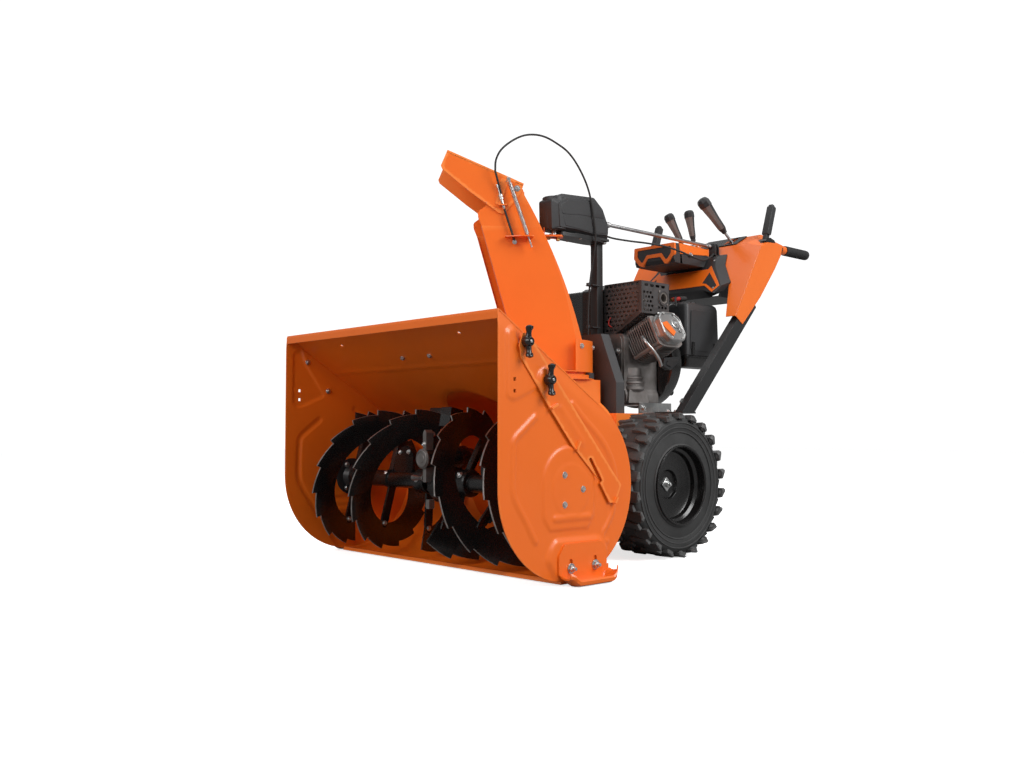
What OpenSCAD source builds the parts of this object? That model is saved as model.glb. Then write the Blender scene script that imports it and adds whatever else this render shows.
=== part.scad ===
// Two stage snowblower with 36 inch clearing width.
// Lengths are in millimetres and angles in degrees.
// Row frame: +Z up, the housing mouth faces -Y, the handles point to +Y,
// and the origin is on the ground, under the middle of the whole machine.
// Inside the modules y is counted from the front edge of the side plates.

/* [Housing] */
// Clearing width over the outside of the side plates
clearing_w = 914; // [800:2:1000]
// Height of the housing opening above the ground
opening_h = 630; // [600:5:660]
// Radius of the rounded rear of the side plates
plate_r = 222; // [218:1:226]
// Thickness of the side plates and the housing sheet
sheet_t = 3; // [2:0.5:4]
// Radius of the impeller drum, inside
drum_r = 183; // [181:1:190]
// Radius of the mounting holes for accessories in the top panel
accessory_hole_r = 4.75; // [3:0.25:6]

/* [Augers and impeller] */
// Outer radius of the auger ribbons
auger_r = 200; // [190:1:204]
// Radial width of an auger ribbon
ribbon_w = 72; // [50:1:90]
// Advance of an auger ribbon in one turn
ribbon_lead = 360; // [300:420]
// Radius of the auger shaft
auger_shaft_r = 15; // [12:0.5:16]
// Radius of the impeller over its blades
impeller_r = 176; // [165:1:178]

/* [Chute] */
// Angle of the chute to the right of straight ahead
chute_turn_rest = 36; // [0:1:60]
// Outside half width of the chute
chute_half_w = 82; // [76:1:84]
// Upward angle of the deflector
deflector_lift = 22.5; // [10:0.5:30]

/* [Wheels] */
// Outer radius of a tyre
tyre_r = 204; // [200:1:208]
// Width of a tyre
tyre_w = 165; // [150:1:170]
// Distance of the middle of a tyre from the middle plane
track_half = 269.5; // [262:0.5:275]

/* [Handlebars] */
// Distance of each handlebar from the middle plane
bar_x = 240; // [232:1:250]
// Overall length of the machine
overall_l = 1648; // [1640:2:1680]

/* [Hidden] */
$fn = 64;
shaft_gap = 0.05;

plate_x = clearing_w / 2;
inner_x = plate_x - sheet_t;
plate_y = plate_r;
plate_z = plate_r + 7;

knob_points = [[70, 557], [140, 474]];

auger_y = 225;
auger_z = 220;
worm_offset = 64;
impeller_z = auger_z + worm_offset;
drum_back_y = 722;
impeller_shaft_r = 12.5;

chute_y = 635;
chute_base_z = 509;
flange_r = 114;
collar_r = 94;
flange_top_z = 519;
chute_foot_z = 528;
hinge_s = 122;
hinge_z = 1058;
stud_s = 149;
stud_z = 1078;
rod_lateral = 105;
rod_lean = atan2(56.2, 162);
tab_z = 914;

axle_y = 796;
axle_z = tyre_r;
axle_r = 12.7;
frame_x = 165;
frame_top_z = 408;

crank_z = 574;
crank_r = 11;
engine_y0 = 846;
engine_y1 = 1010;
cylinder_lift = 25;
belt_y0 = 759;
engine_pulley_r = 32;
impeller_pulley_r = 98;
traction_x = 95;
traction_z = 330;
traction_pulley_r = 30;

post_y = 824;
post_half = 14;
post_top_z = 948;

// Side view of the dash: its front leans back and its top slopes up to the rear
dash_y0 = 1355;
dash_z0 = 982;
dash_y1 = 1430;
dash_z1 = 1022;
dash_x = bar_x + 17;
dash_front_x = 157;
lever_y = 1408;
lever_z = 968;
clutch_y = 1392;
clutch_z = 985;
chute_lever_x = -80;
deflector_lever_x = -52;
speed_lever_x = 126;

chute_rod_start = [12, 849, 1003];
chute_rod_end = [85, 1332, 979];
chute_rod_dir = (chute_rod_end - chute_rod_start) / norm(chute_rod_end - chute_rod_start);

// Outer edge of the side plate, from the top corner to where the round rear begins
to_corner = [-plate_y, opening_h - plate_z];
corner_d = norm(to_corner);
tangent_half = acos(plate_r / corner_d);
corner_a = atan2(to_corner[1], to_corner[0]);
tangent_a = corner_a - tangent_half;
tangent_y = plate_y + plate_r * cos(tangent_a);
tangent_z = plate_z + plate_r * sin(tangent_a);
panel_slope = atan2(opening_h - tangent_z, tangent_y);

// Route of the deflector cable from its clamp on the chute to the foot of the post
DEFLECTOR_ROUTE = [
  [-23, 447, 1013], [-24, 442, 1040], [-25, 432, 1072], [-26, 422, 1103], [-25, 424, 1135],
  [-22, 442, 1168], [-18, 480, 1200], [-14, 524, 1224], [-9, 567, 1234], [-4, 606, 1233],
  [3, 644, 1221], [13, 678, 1202], [24, 702, 1173], [35, 724, 1132], [42, 741, 1090],
  [45, 753, 1045], [46, 762, 1000], [45, 770, 955], [34, 778, 912], [20, 782, 866],
  [14, 778, 812], [13, 773, 760], [12, 770, 704], [12, 770, 648]
];
// Route of the chute cable from the drive housing to the dash
CHUTE_CABLE_ROUTE = [
  [10, 849, 968], [18, 880, 962], [40, 930, 957], [68, 985, 953], [96, 1040, 946],
  [122, 1088, 932],
  [136, 1139, 917], [109, 1228, 922], [100, 1279, 938], [97, 1303, 953]
];

paint = "darkorange";
black = "#242424";
steel = "silver";

// ---- Shared shapes -------------------------------------------------------

module in_frame() {
  translate([0, -overall_l / 2, 0]) children();
}

// An outline given as [y, z] points, drawn out along X from x0 to x1
module prism_x(x0, x1, points) {
  translate([x0, 0, 0]) rotate([90, 0, 90]) linear_extrude(x1 - x0) polygon(points);
}

// An outline given as [x, z] points, drawn out along Y from y0 to y1
module prism_y(y0, y1, points) {
  translate([0, y1, 0]) rotate([90, 0, 0]) linear_extrude(y1 - y0) polygon(points);
}

module rod_x(x0, x1, r) {
  translate([x0, 0, 0]) rotate([0, 90, 0]) cylinder(h = x1 - x0, r = r);
}

module rod_y(y0, y1, r) {
  translate([0, y0, 0]) rotate([-90, 0, 0]) cylinder(h = y1 - y0, r = r);
}

module block(low, high) {
  translate(low) cube(high - low);
}

module both_sides() {
  children();
  mirror([1, 0, 0]) children();
}

// Chute parts are drawn pointing straight ahead, about the chute's own axis
module on_chute() {
  translate([0, chute_y, 0]) rotate([0, 0, -chute_turn_rest]) children();
}

// An outline given as [reach, z] points, where reach is towards the discharge
module chute_prism(x0, x1, points) {
  prism_x(x0, x1, [for (p = points) [-p[0], p[1]]]);
}

// A round tube that follows a list of points
function route_tangent(path, i) =
  let (last = len(path) - 1, step = path[min(i + 1, last)] - path[max(i - 1, 0)])
  step / norm(step);
function ring_points(path, i, r, sides) =
  let (
    t = route_tangent(path, i),
    u = cross(t, [1, 0, 0]) / norm(cross(t, [1, 0, 0])),
    v = cross(t, u)
  )
  [for (k = [0 : sides - 1])
    path[i] + r * (cos(360 * k / sides) * u + sin(360 * k / sides) * v)];
module cord(path, r, sides = 8) {
  last = len(path) - 1;
  points = [for (i = [0 : last]) each ring_points(path, i, r, sides)];
  walls = [for (i = [0 : last - 1], k = [0 : sides - 1])
    [i * sides + k, i * sides + (k + 1) % sides,
     (i + 1) * sides + (k + 1) % sides, (i + 1) * sides + k]];
  near_end = [for (k = [sides - 1 : -1 : 0]) k];
  far_end = [for (k = [0 : sides - 1]) last * sides + k];
  polyhedron(points, concat(walls, [near_end, far_end]), convexity = 8);
}

// ---- Housing -------------------------------------------------------------

// The space inside the housing's outer skin, without its open front
module housing_space(x0, x1, inset) {
  r = plate_r - inset;
  a = tangent_a;
  // The sloping panel dips just inside the round rear, so that the two meet in an edge
  panel_r = r - 0.3;
  union() {
    translate([0, plate_y, plate_z]) rod_x(x0, x1, r, $fn = 180);
    prism_x(x0, x1, [
      [0, plate_z], [plate_y, plate_z],
      [plate_y + panel_r * cos(a), plate_z + panel_r * sin(a)],
      [0, opening_h - inset / cos(panel_slope)]
    ]);
  }
}

module auger_bolt_places() {
  for (p = [[-21, 35], [41, 0], [-21, -34]]) translate([0, auger_y + p[0], auger_z + p[1]]) children();
}

module knob_places() {
  for (p = knob_points) translate([0, p[0], p[1]]) children();
}

module shoe_bolt_places() {
  for (p = [[217, 39], [300, 41]]) translate([0, p[0], p[1]]) children();
}

module side_plate() {
  difference() {
    housing_space(inner_x, plate_x, 0);
    auger_bolt_places() rod_x(inner_x - 1, plate_x + 1, 4.5);
    knob_places() rod_x(inner_x - 1, plate_x + 1, 4.5);
    shoe_bolt_places() {
      rod_x(inner_x - 1, plate_x + 1, 5.5);
      translate([0, 0, 20]) rod_x(inner_x - 1, plate_x + 1, 5.5);
      block([inner_x - 1, -5.5, 0], [plate_x + 1, 5.5, 20]);
    }
    for (z = [447, 473]) block([inner_x - 1, 42, z - 4], [plate_x + 1, 50, z + 4]);
  }
}

module side_plate_left() {
  color(paint) in_frame() side_plate();
}

module side_plate_right() {
  color(paint) in_frame() mirror([1, 0, 0]) side_plate();
}

module housing_shell() {
  lip_h = 20;
  lip_x = inner_x;
  color(paint) in_frame() difference() {
    union() {
      intersection() {
        difference() {
          housing_space(-lip_x, lip_x, 0);
          housing_space(-lip_x - 1, lip_x + 1, sheet_t);
        }
        union() {
          prism_x(-lip_x, lip_x, [[plate_y, -10], [600, -10], [600, 700], [plate_y, 700]]);
          prism_x(-lip_x, lip_x, [[-10, 440], [plate_y, 440], [plate_y, 700], [-10, 700]]);
        }
      }
      block([-lip_x, 0, opening_h - lip_h], [lip_x, sheet_t, opening_h - 3.5]);
    }
    translate([0, 0, impeller_z]) rod_y(250, 500, drum_r);
    for (x = [-253, 253])
      translate([x, 58, opening_h - 58 * tan(panel_slope)]) rotate([-panel_slope, 0, 0])
        translate([0, 0, -15]) cylinder(h = 30, r = accessory_hole_r);
  }
}

module scraper_blade() {
  color(paint) in_frame() difference() {
    block([-inner_x, 198, 3], [inner_x, 284, 15]);
    translate([0, plate_y, plate_z]) rod_x(-inner_x - 1, inner_x + 1, plate_r, $fn = 180);
  }
}

module impeller_drum() {
  wall = 3;
  color(paint) in_frame() difference() {
    translate([0, 0, impeller_z]) union() {
      difference() {
        rod_y(240, drum_back_y, drum_r + wall);
        rod_y(239, drum_back_y + 1, drum_r);
      }
      difference() {
        rod_y(drum_back_y, drum_back_y + wall, drum_r + wall);
        rod_y(drum_back_y - 1, drum_back_y + wall + 1, 14);
      }
    }
    housing_space(-inner_x, inner_x, 0);
    block([-88, chute_y - 86, impeller_z + 60], [88, drum_back_y - 1, impeller_z + 200]);
  }
}

module chute_base() {
  wall = 3;
  color(paint) in_frame() difference() {
    union() {
      difference() {
        block([-105, 446, 400], [105, drum_back_y, chute_base_z - wall]);
        block([-105 + wall, 446 + wall, 399], [105 - wall, drum_back_y - wall, chute_base_z - 2 * wall]);
      }
      translate([0, chute_y, chute_base_z - wall]) cylinder(h = wall, r = 118);
    }
    translate([0, 0, impeller_z]) rod_y(440, drum_back_y + 1, drum_r + wall + 0.3);
    translate([0, chute_y, chute_base_z - 40]) cylinder(h = 60, r = collar_r + 1);
  }
}

// Hooks that hold the chute's flange down on the base
module chute_retainers() {
  top = flange_top_z + 7;
  color(black) in_frame() translate([0, chute_y, 0]) for (a = [25, 155, 270])
    rotate([0, 0, a]) difference() {
      block([104, -16, chute_base_z], [118, 16, top]);
      translate([0, 0, chute_base_z - 1])
        cylinder(h = flange_top_z + 0.6 - chute_base_z + 1, r = flange_r + 0.6);
    }
}

module skid_shoe() {
  outer_x = plate_x + 53;
  web_t = 5;
  difference() {
    union() {
      prism_x(plate_x, outer_x, [
        [202, 0], [330, 0], [348, 13], [345, 18], [328, web_t], [204, web_t], [187, 18], [184, 13]
      ]);
      prism_x(plate_x, plate_x + web_t, [[192, 12], [204, web_t - 1], [328, web_t - 1], [340, 12],
        [338, 72], [322, 88], [174, 88], [160, 72]]);
    }
    shoe_bolt_places() rod_x(plate_x - 1, plate_x + web_t + 1, 5.5);
  }
}

module skid_shoes() {
  color(paint) in_frame() both_sides() skid_shoe();
}

module housing_fasteners() {
  flange_x = inner_x - 6;
  color(steel) in_frame() both_sides() {
    auger_bolt_places() {
      rod_x(plate_x, plate_x + 3, 7);
      rod_x(flange_x - 7, plate_x, 4);
      rod_x(flange_x - 7, flange_x, 6.5);
    }
    shoe_bolt_places() {
      rod_x(plate_x + 5, plate_x + 7, 13);
      translate([plate_x + 7, 0, 0]) rotate([0, 90, 0]) cylinder(h = 8, r = 9, $fn = 6);
      rod_x(inner_x - 4, plate_x + 19, 5);
      rod_x(inner_x - 4, inner_x, 10);
    }
    knob_places() {
      rod_x(inner_x - 5, plate_x + 20, 4);
      rod_x(inner_x - 5, inner_x, 9);
    }
  }
}

// Bars folded down along the side plates, which cut through deep drifts when raised
module drift_cutter() {
  t = 3;
  difference() {
    prism_x(plate_x, plate_x + t, [
      [42, 539], [357, 191], [379, 183], [403, 232], [92, 578], [60, 582]
    ]);
    knob_places() rod_x(plate_x - 1, plate_x + t + 1, 4.5);
  }
}

module drift_cutters() {
  color(paint) in_frame() both_sides() drift_cutter();
}

// T-shaped hand knob, screwed on a stud of a drift cutter
module cutter_knob(point) {
  base_x = plate_x + 3.3;
  translate([0, point[0], point[1]]) difference() {
    union() {
      rod_x(base_x, base_x + 24, 13);
      block([base_x + 8, -9, -36], [base_x + 24, 9, 36]);
    }
    rod_x(base_x - 1, base_x + 18, 4 + shaft_gap);
  }
}

module upper_knob_left() {
  color(black) in_frame() cutter_knob(knob_points[0]);
}

module lower_knob_left() {
  color(black) in_frame() cutter_knob(knob_points[1]);
}

module upper_knob_right() {
  color(black) in_frame() mirror([1, 0, 0]) cutter_knob(knob_points[0]);
}

module lower_knob_right() {
  color(black) in_frame() mirror([1, 0, 0]) cutter_knob(knob_points[1]);
}

// Flanged bearings: one on each side plate and one behind the drum
module shaft_bearings() {
  flange_t = 6;
  color(black) in_frame() {
    both_sides() difference() {
      translate([0, auger_y, auger_z]) union() {
        rod_x(inner_x - flange_t, inner_x, 54);
        rod_x(inner_x - 24, inner_x, 26);
      }
      translate([0, auger_y, auger_z]) rod_x(inner_x - 30, inner_x - 3, auger_shaft_r + shaft_gap);
      auger_bolt_places() rod_x(inner_x - 30, inner_x + 1, 4.5);
    }
    translate([0, 0, impeller_z]) difference() {
      rod_y(drum_back_y + 3, drum_back_y + 19, 30);
      rod_y(drum_back_y, drum_back_y + 20, impeller_shaft_r + shaft_gap);
    }
  }
}

// ---- Augers, gear case and impeller --------------------------------------

module gear_case() {
  color(black) in_frame() difference() {
    union() {
      translate([0, auger_y, auger_z]) {
        rod_x(-32, 32, 58);
        rod_x(-62, 62, 24);
      }
      translate([0, 0, impeller_z]) rod_y(143, 312, 24);
      block([-7, 156, impeller_z + 10], [7, 172, impeller_z + 70]);
    }
    translate([0, auger_y, auger_z]) {
      rod_x(-18, 18, 50.5);
      rod_x(-70, 70, auger_shaft_r + shaft_gap);
    }
    translate([0, 0, impeller_z]) {
      rod_y(170, 290, 17);
      rod_y(152, 320, impeller_shaft_r + shaft_gap);
    }
  }
}

module auger_shaft() {
  worm_wheel_r = 48;
  teeth = 20;
  color(steel) in_frame() translate([0, auger_y, auger_z]) union() {
    rod_x(-inner_x + 6, inner_x - 6, auger_shaft_r);
    difference() {
      rod_x(-14, 14, worm_wheel_r);
      for (k = [0 : teeth - 1])
        rotate([360 * (k + 0.5) / teeth, 0, 0]) block([-15, -2.4, worm_wheel_r - 5], [15, 2.4, worm_wheel_r + 2]);
    }
  }
}

// One helical ribbon about the auger shaft, from x0 to x1, beginning at a turn angle
module ribbon(x0, x1, start) {
  t = 4;
  steps = ceil(abs(x1 - x0) / ribbon_lead * 24);
  inner = auger_r - ribbon_w;
  points = [for (i = [0 : steps])
    let (x = x0 + (x1 - x0) * i / steps, a = start + 360 * (x - x0) / ribbon_lead)
    each [for (c = [[inner, -t / 2], [auger_r, -t / 2], [auger_r, t / 2], [inner, t / 2]])
      [x + c[1], c[0] * cos(a), c[0] * sin(a)]]];
  walls = [for (i = [0 : steps - 1], k = [0 : 3])
    each [[i * 4 + k, i * 4 + (k + 1) % 4, (i + 1) * 4 + (k + 1) % 4],
      [i * 4 + k, (i + 1) * 4 + (k + 1) % 4, (i + 1) * 4 + k]]];
  ends = [[3, 2, 1, 0], [steps * 4, steps * 4 + 1, steps * 4 + 2, steps * 4 + 3]];
  polyhedron(points, concat(walls, ends), convexity = 8);
}

// Half of the auger; phase is the turn angle at which its first flight begins
module auger(phase) {
  sleeve_x0 = 64;
  sleeve_x1 = inner_x - 25;
  ribbon_x0 = 64;
  ribbon_x1 = 436;
  arm_reach = auger_r - ribbon_w + 16;
  translate([0, auger_y, auger_z]) union() {
    difference() {
      rod_x(sleeve_x0, sleeve_x1, 24);
      rod_x(sleeve_x0 - 1, sleeve_x1 + 1, auger_shaft_r);
    }
    for (turn = [0, 180]) ribbon(ribbon_x0, ribbon_x1, phase + turn);
    for (x = [72, 240, 420])
      rotate([phase + 360 * (x - ribbon_x0) / ribbon_lead, 0, 0]) {
        block([x - 4, 20, -18], [x + 4, arm_reach, 18]);
        block([x - 4, -arm_reach, -18], [x + 4, -20, 18]);
      }
  }
}

module auger_left() {
  color(black) in_frame() auger(51);
}

module auger_right() {
  color(black) in_frame() mirror([1, 0, 0]) auger(79);
}

module impeller() {
  blades = 3;
  color(paint) in_frame() translate([0, 0, impeller_z]) difference() {
    union() {
      rod_y(560, 710, 28);
      for (k = [0 : blades - 1])
        rotate([0, 360 * k / blades, 0]) {
          block([-3, 566, 20], [3, 706, impeller_r - 2]);
          block([-3, 566, impeller_r - 30], [22, 572, impeller_r - 6]);
        }
    }
    rod_y(559, 711, impeller_shaft_r);
  }
}

// Impeller shaft with the worm in the gear case and the pulley at its rear end
module impeller_shaft() {
  color(steel) in_frame() translate([0, 0, impeller_z]) union() {
    rod_y(154, 775, impeller_shaft_r);
    rod_y(198, 252, 15.4);
    difference() {
      rod_y(belt_y0 + 1, belt_y0 + 15, impeller_pulley_r);
      difference() {
        rod_y(belt_y0 + 3, belt_y0 + 13, impeller_pulley_r + 1);
        rod_y(belt_y0 + 2, belt_y0 + 14, impeller_pulley_r - 8);
      }
    }
  }
}

// ---- Drive ---------------------------------------------------------------

module tractor_frame() {
  wall = 3;
  y0 = drum_back_y + wall;
  color(paint) in_frame() difference() {
    block([-frame_x, y0, 128], [frame_x, 1000, frame_top_z]);
    block([-frame_x + wall, y0 + wall, 120], [frame_x - wall, 1000 - wall, frame_top_z - wall]);
    block([-98, 752, frame_top_z - 10], [132, 793, frame_top_z + 1]);
    translate([0, 0, impeller_z]) rod_y(y0 - 1, y0 + wall + 1, 32);
    translate([0, axle_y, axle_z]) rod_x(-frame_x - 1, frame_x + 1, 14);
  }
}

module engine_plate() {
  color(steel) in_frame() difference() {
    block([-150, engine_y0, frame_top_z], [150, 1000, 441]);
    block([-146, engine_y0 - 1, frame_top_z - 1], [146, 1001, 435]);
  }
}

// Sealed gearbox of the wheel drive, with tubes that hold both stub axles
module transaxle() {
  color("gray") in_frame() difference() {
    union() {
      block([-80, 779, 165], [80, 870, 245]);
      block([45, 800, 240], [135, 880, 366]);
      translate([0, axle_y, axle_z]) {
        rod_x(-frame_x + 3, -80, 22);
        rod_x(80, frame_x - 3, 22);
      }
    }
    translate([0, axle_y, axle_z]) rod_x(-frame_x, frame_x, axle_r + shaft_gap);
    translate([traction_x, 0, traction_z]) rod_y(799, 842, 8 + shaft_gap);
  }
}

module belt_cover() {
  y0 = 755;
  y1 = 792;
  wall = 2.5;
  top_z = crank_z + 74;
  outline = [[-104, frame_top_z], [138, frame_top_z], [138, 500], [78, top_z], [-60, top_z], [-104, 520]];
  inside = [[-101, frame_top_z - 1], [135, frame_top_z - 1], [135, 499], [76, top_z - wall],
    [-59, top_z - wall], [-101, 519]];
  color(black) in_frame() difference() {
    prism_y(y0, y1, outline);
    prism_y(y0 + wall, y1 - wall, inside);
    translate([0, 0, crank_z]) rod_y(y1 - 5, y1 + 1, 15);
  }
}

// Straight-sided belt round two pulleys in one plane
function belt_outline(a, ra, b, rb) =
  let (
    d = b - a,
    along = atan2(d[1], d[0]),
    spread = acos((ra - rb) / norm(d)),
    arc_a = [for (k = [0 : 20]) along + spread + (360 - 2 * spread) * k / 20],
    arc_b = [for (k = [0 : 20]) along - spread + 2 * spread * k / 20]
  )
  concat([for (t = arc_a) a + ra * [cos(t), sin(t)]], [for (t = arc_b) b + rb * [cos(t), sin(t)]]);

module belt(y0, y1, a, ra, b, rb) {
  t = 7;
  difference() {
    prism_y(y0, y1, belt_outline(a, ra + t, b, rb + t));
    prism_y(y0 - 1, y1 + 1, belt_outline(a, ra, b, rb));
  }
}

module drive_belts() {
  groove = 8;
  slack = 1;
  a = [0, crank_z];
  color(black) in_frame() {
    belt(belt_y0 + 4, belt_y0 + 12, a, engine_pulley_r - groove + slack,
      [0, impeller_z], impeller_pulley_r - groove + slack);
    belt(belt_y0 + 18, belt_y0 + 26, a, engine_pulley_r - groove + slack,
      [traction_x, traction_z], traction_pulley_r - groove + slack);
  }
}

module traction_pulley() {
  y0 = belt_y0 + 16;
  color(steel) in_frame() translate([traction_x, 0, traction_z]) union() {
    difference() {
      rod_y(y0, y0 + 14, traction_pulley_r);
      difference() {
        rod_y(y0 + 2, y0 + 12, traction_pulley_r + 1);
        rod_y(y0 + 1, y0 + 13, traction_pulley_r - 8);
      }
    }
    rod_y(y0, 838, 8);
  }
}

// ---- Engine --------------------------------------------------------------

module crankcase() {
  color("lightgray") in_frame() difference() {
    union() {
      prism_y(engine_y0, engine_y1, [[-105, 441], [95, 441], [95, 655], [-70, 655], [-105, 610]]);
      translate([0, 0, crank_z]) rod_y(engine_y0 - 4, engine_y0, 42);
    }
    prism_y(engine_y0 + 8, engine_y1 - 8, [[-97, 449], [87, 449], [87, 647], [-66, 647], [-97, 607]]);
    translate([0, 0, crank_z]) rod_y(engine_y0 - 5, engine_y1 + 1, crank_r + shaft_gap);
  }
}

module on_cylinder() {
  translate([0, 930, crank_z]) rotate([0, -cylinder_lift, 0]) children();
}

module finned_cylinder() {
  fins = 9;
  color("gray") in_frame() difference() {
    on_cylinder() union() {
      rod_x(70, 206, 42);
      for (k = [0 : fins - 1])
        block([110 + 11 * k, -58, -58], [113 + 11 * k, 58, 52]);
    }
    block([-110, engine_y0, 440], [95, engine_y1, 655]);
  }
}

module valve_cover() {
  color(steel) in_frame() on_cylinder() translate([206, 0, 0]) prism_x(0, 30, [
    [-30, -50], [30, -50], [52, -28], [52, 28], [30, 50], [-30, 50], [-52, 28], [-52, -28]
  ]);
}

guard_outline = [[5, 655], [50, 655], [155, 714], [155, 812], [5, 812]];
guard_inside = [[8, 658], [49, 658], [152, 716], [152, 809], [8, 809]];
muffler_outline = [[18, 661], [47, 661], [138, 713], [138, 797], [18, 797]];

module muffler_guard() {
  color(black) in_frame() difference() {
    prism_y(855, 987, guard_outline);
    prism_y(858, 984, guard_inside);
    translate([150, 956, 766]) rod_x(0, 10, 17);
  }
}

muffler_inside = [[21, 664], [46, 664], [135, 715], [135, 794], [21, 794]];

module muffler() {
  color("dimgray") in_frame() difference() {
    union() {
      prism_y(868, 974, muffler_outline);
      translate([0, 956, 766]) rod_x(130, 158, 16);
    }
    prism_y(871, 971, muffler_inside);
    translate([0, 956, 766]) rod_x(128, 160, 13);
  }
}

module recoil_housing() {
  color(black) in_frame() translate([0, 0, crank_z]) difference() {
    union() {
      rod_y(engine_y1, 1070, 146);
      rod_y(1060, 1080, 92);
    }
    rod_y(engine_y1 + 4, 1066, 142);
    rod_y(engine_y1 - 1, engine_y1 + 5, 14);
    translate([0, 1046, 128]) rod_x(-160, 0, 3);
  }
}

module air_box() {
  color(black) in_frame() difference() {
    block([60, 1080, 560], [152, 1262, 770]);
    block([64, 1084, 564], [148, 1258, 766]);
  }
}

module fuel_tank() {
  wall = 4;
  outline = [[862, 655], [997, 655], [1007, 728], [1090, 728], [1090, 800], [1076, 812], [876, 812], [862, 800]];
  inside = [[866, 659], [994, 659], [1004, 732], [1086, 732], [1086, 799], [1075, 808], [877, 808], [866, 799]];
  color(black) in_frame() difference() {
    union() {
      prism_x(-186, -8, outline);
      translate([-100, 990, 812]) cylinder(h = 10, r = 22);
    }
    prism_x(-182, -12, inside);
    translate([-100, 990, 800]) cylinder(h = 30, r = 18);
  }
}

module fuel_cap() {
  color(black) in_frame() translate([-100, 990, 0]) difference() {
    translate([0, 0, 812.3]) cylinder(h = 20, r = 28);
    translate([0, 0, 811]) cylinder(h = 11.5, r = 22 + shaft_gap);
  }
}

// Crankshaft with the belt pulley in front and the fanned flywheel behind
module crankshaft() {
  vanes = 12;
  color(steel) in_frame() translate([0, 0, crank_z]) union() {
    rod_y(belt_y0, 1056, crank_r);
    difference() {
      rod_y(belt_y0, belt_y0 + 29, engine_pulley_r);
      for (y = [belt_y0 + 3, belt_y0 + 17])
        difference() {
          rod_y(y, y + 10, engine_pulley_r + 1);
          rod_y(y - 1, y + 11, engine_pulley_r - 8);
        }
    }
    rod_y(1022, 1036, 118);
    for (k = [0 : vanes - 1])
      rotate([0, 360 * k / vanes, 0]) block([-2, 1035, 70], [2, 1052, 116]);
  }
}

module recoil_handle() {
  color(black) in_frame() translate([0, 1046, crank_z + 128]) union() {
    rod_x(-82, -4, 2.5);
    translate([-94, -32, 0]) rod_y(0, 64, 9);
    block([-94, -6, -6], [-81.5, 6, 6]);
  }
}

// ---- Wheels --------------------------------------------------------------

module on_axle() {
  translate([track_half, axle_y, axle_z]) rotate([0, 90, 0]) children();
}

// Hollow tyre, open towards the rim between its beads
module tyre() {
  h = tyre_w / 2;
  bead = 69;
  wall = 11;
  shoulder = 190;
  on_axle() rotate_extrude() polygon([
    [101, -bead], [112, -bead - 4], [150, -h], [shoulder, -h], [tyre_r, -h + 10],
    [tyre_r, h - 10], [shoulder, h], [150, h], [112, bead + 4], [101, bead], [97, bead - 12],
    [110, bead - 12], [150, h - wall], [shoulder - 8, h - wall], [shoulder - 4, 0],
    [shoulder - 8, wall - h], [150, wall - h], [110, 12 - bead], [97, 12 - bead]
  ]);
}

// Pressed steel rim with its hub and stub axle
module rim() {
  disc = 8;
  on_axle() rotate_extrude() polygon([
    [0, -track_half + 3], [axle_r, -track_half + 3], [axle_r, -40], [30, -40], [30, -2],
    [90, -2], [90, -66], [101, -69], [97, -57], [97, 57], [101, 69], [90, 66], [90, disc],
    [34, disc], [30, 14], [axle_r, 14], [axle_r, 26], [0, 26]
  ]);
}

module tyre_left() {
  color(black) in_frame() tyre();
}

module tyre_right() {
  color(black) in_frame() mirror([1, 0, 0]) tyre();
}

module rim_left() {
  color(black) in_frame() rim();
}

module rim_right() {
  color(black) in_frame() mirror([1, 0, 0]) rim();
}

// ---- Chute ---------------------------------------------------------------

// Reach of the chute's curved back at height z
function chute_back(z) = let (h = z - 534) -91 + 0.187 * h + 0.000375 * h * h;

// Side plates, curved back and lower front wall of the chute
module chute_walls() {
  t = 2.5;
  w = chute_half_w;
  top_z = 1056;
  foot = chute_foot_z;
  rows = [for (k = [0 : 10]) foot + (top_z - foot) * k / 10];
  back = [for (z = rows) [chute_back(z), z]];
  back_inner = [for (z = rows) [chute_back(z) + 3, z]];
  difference() {
    union() {
      chute_prism(-w, w, concat(back, [[236, 984], [225, 948], [155, 700], [106, foot]]));
      translate([0, -hinge_s, hinge_z]) rod_x(-w, w, 13);
    }
    chute_prism(-w + t, w - t, concat(
      [[chute_back(foot) + 3, foot - 1]], back_inner,
      [[140, 1100], [400, 1100], [400, 700], [152, 700], [103, foot - 1]]));
    difference() {
      translate([0, 0, foot - 1]) cylinder(h = 93, r = 300);
      translate([0, 0, foot - 2]) cylinder(h = 95, r = flange_r);
    }
  }
}

module tube(z0, z1, r_out, r_in) {
  translate([0, 0, z0]) difference() {
    cylinder(h = z1 - z0, r = r_out);
    translate([0, 0, -1]) cylinder(h = z1 - z0 + 2, r = r_in);
  }
}

module chute() {
  wall = 3;
  neck_r = 103;
  color(paint) in_frame() on_chute() union() {
    chute_walls();
    intersection() {
      tube(chute_foot_z, chute_foot_z + 92, flange_r, flange_r - wall);
      block([-120, 40, chute_foot_z], [120, 120, chute_foot_z + 92]);
    }
    tube(chute_base_z - 10, chute_base_z + 1, collar_r, collar_r - wall);
    tube(chute_base_z + 0.5, flange_top_z, flange_r, collar_r - wall);
    tube(flange_top_z, chute_foot_z + 2, neck_r, neck_r - wall);
    tube(chute_foot_z, chute_foot_z + 2, flange_r, neck_r - wall);
    rod_tab();
    chute_yoke();
    translate([0, -hinge_s, hinge_z]) rod_x(-chute_half_w - 6, chute_half_w + 6, 4);
  }
}

// Tab on the chute's side, with a slot that guides the deflector's spring rod
module rod_tab() {
  w = chute_half_w;
  difference() {
    block([w, -155, tab_z], [w + 34, -78, tab_z + 3]);
    block([rod_lateral - 4.5, -104, tab_z - 1], [rod_lateral + 4.5, -83, tab_z + 4]);
  }
}

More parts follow.
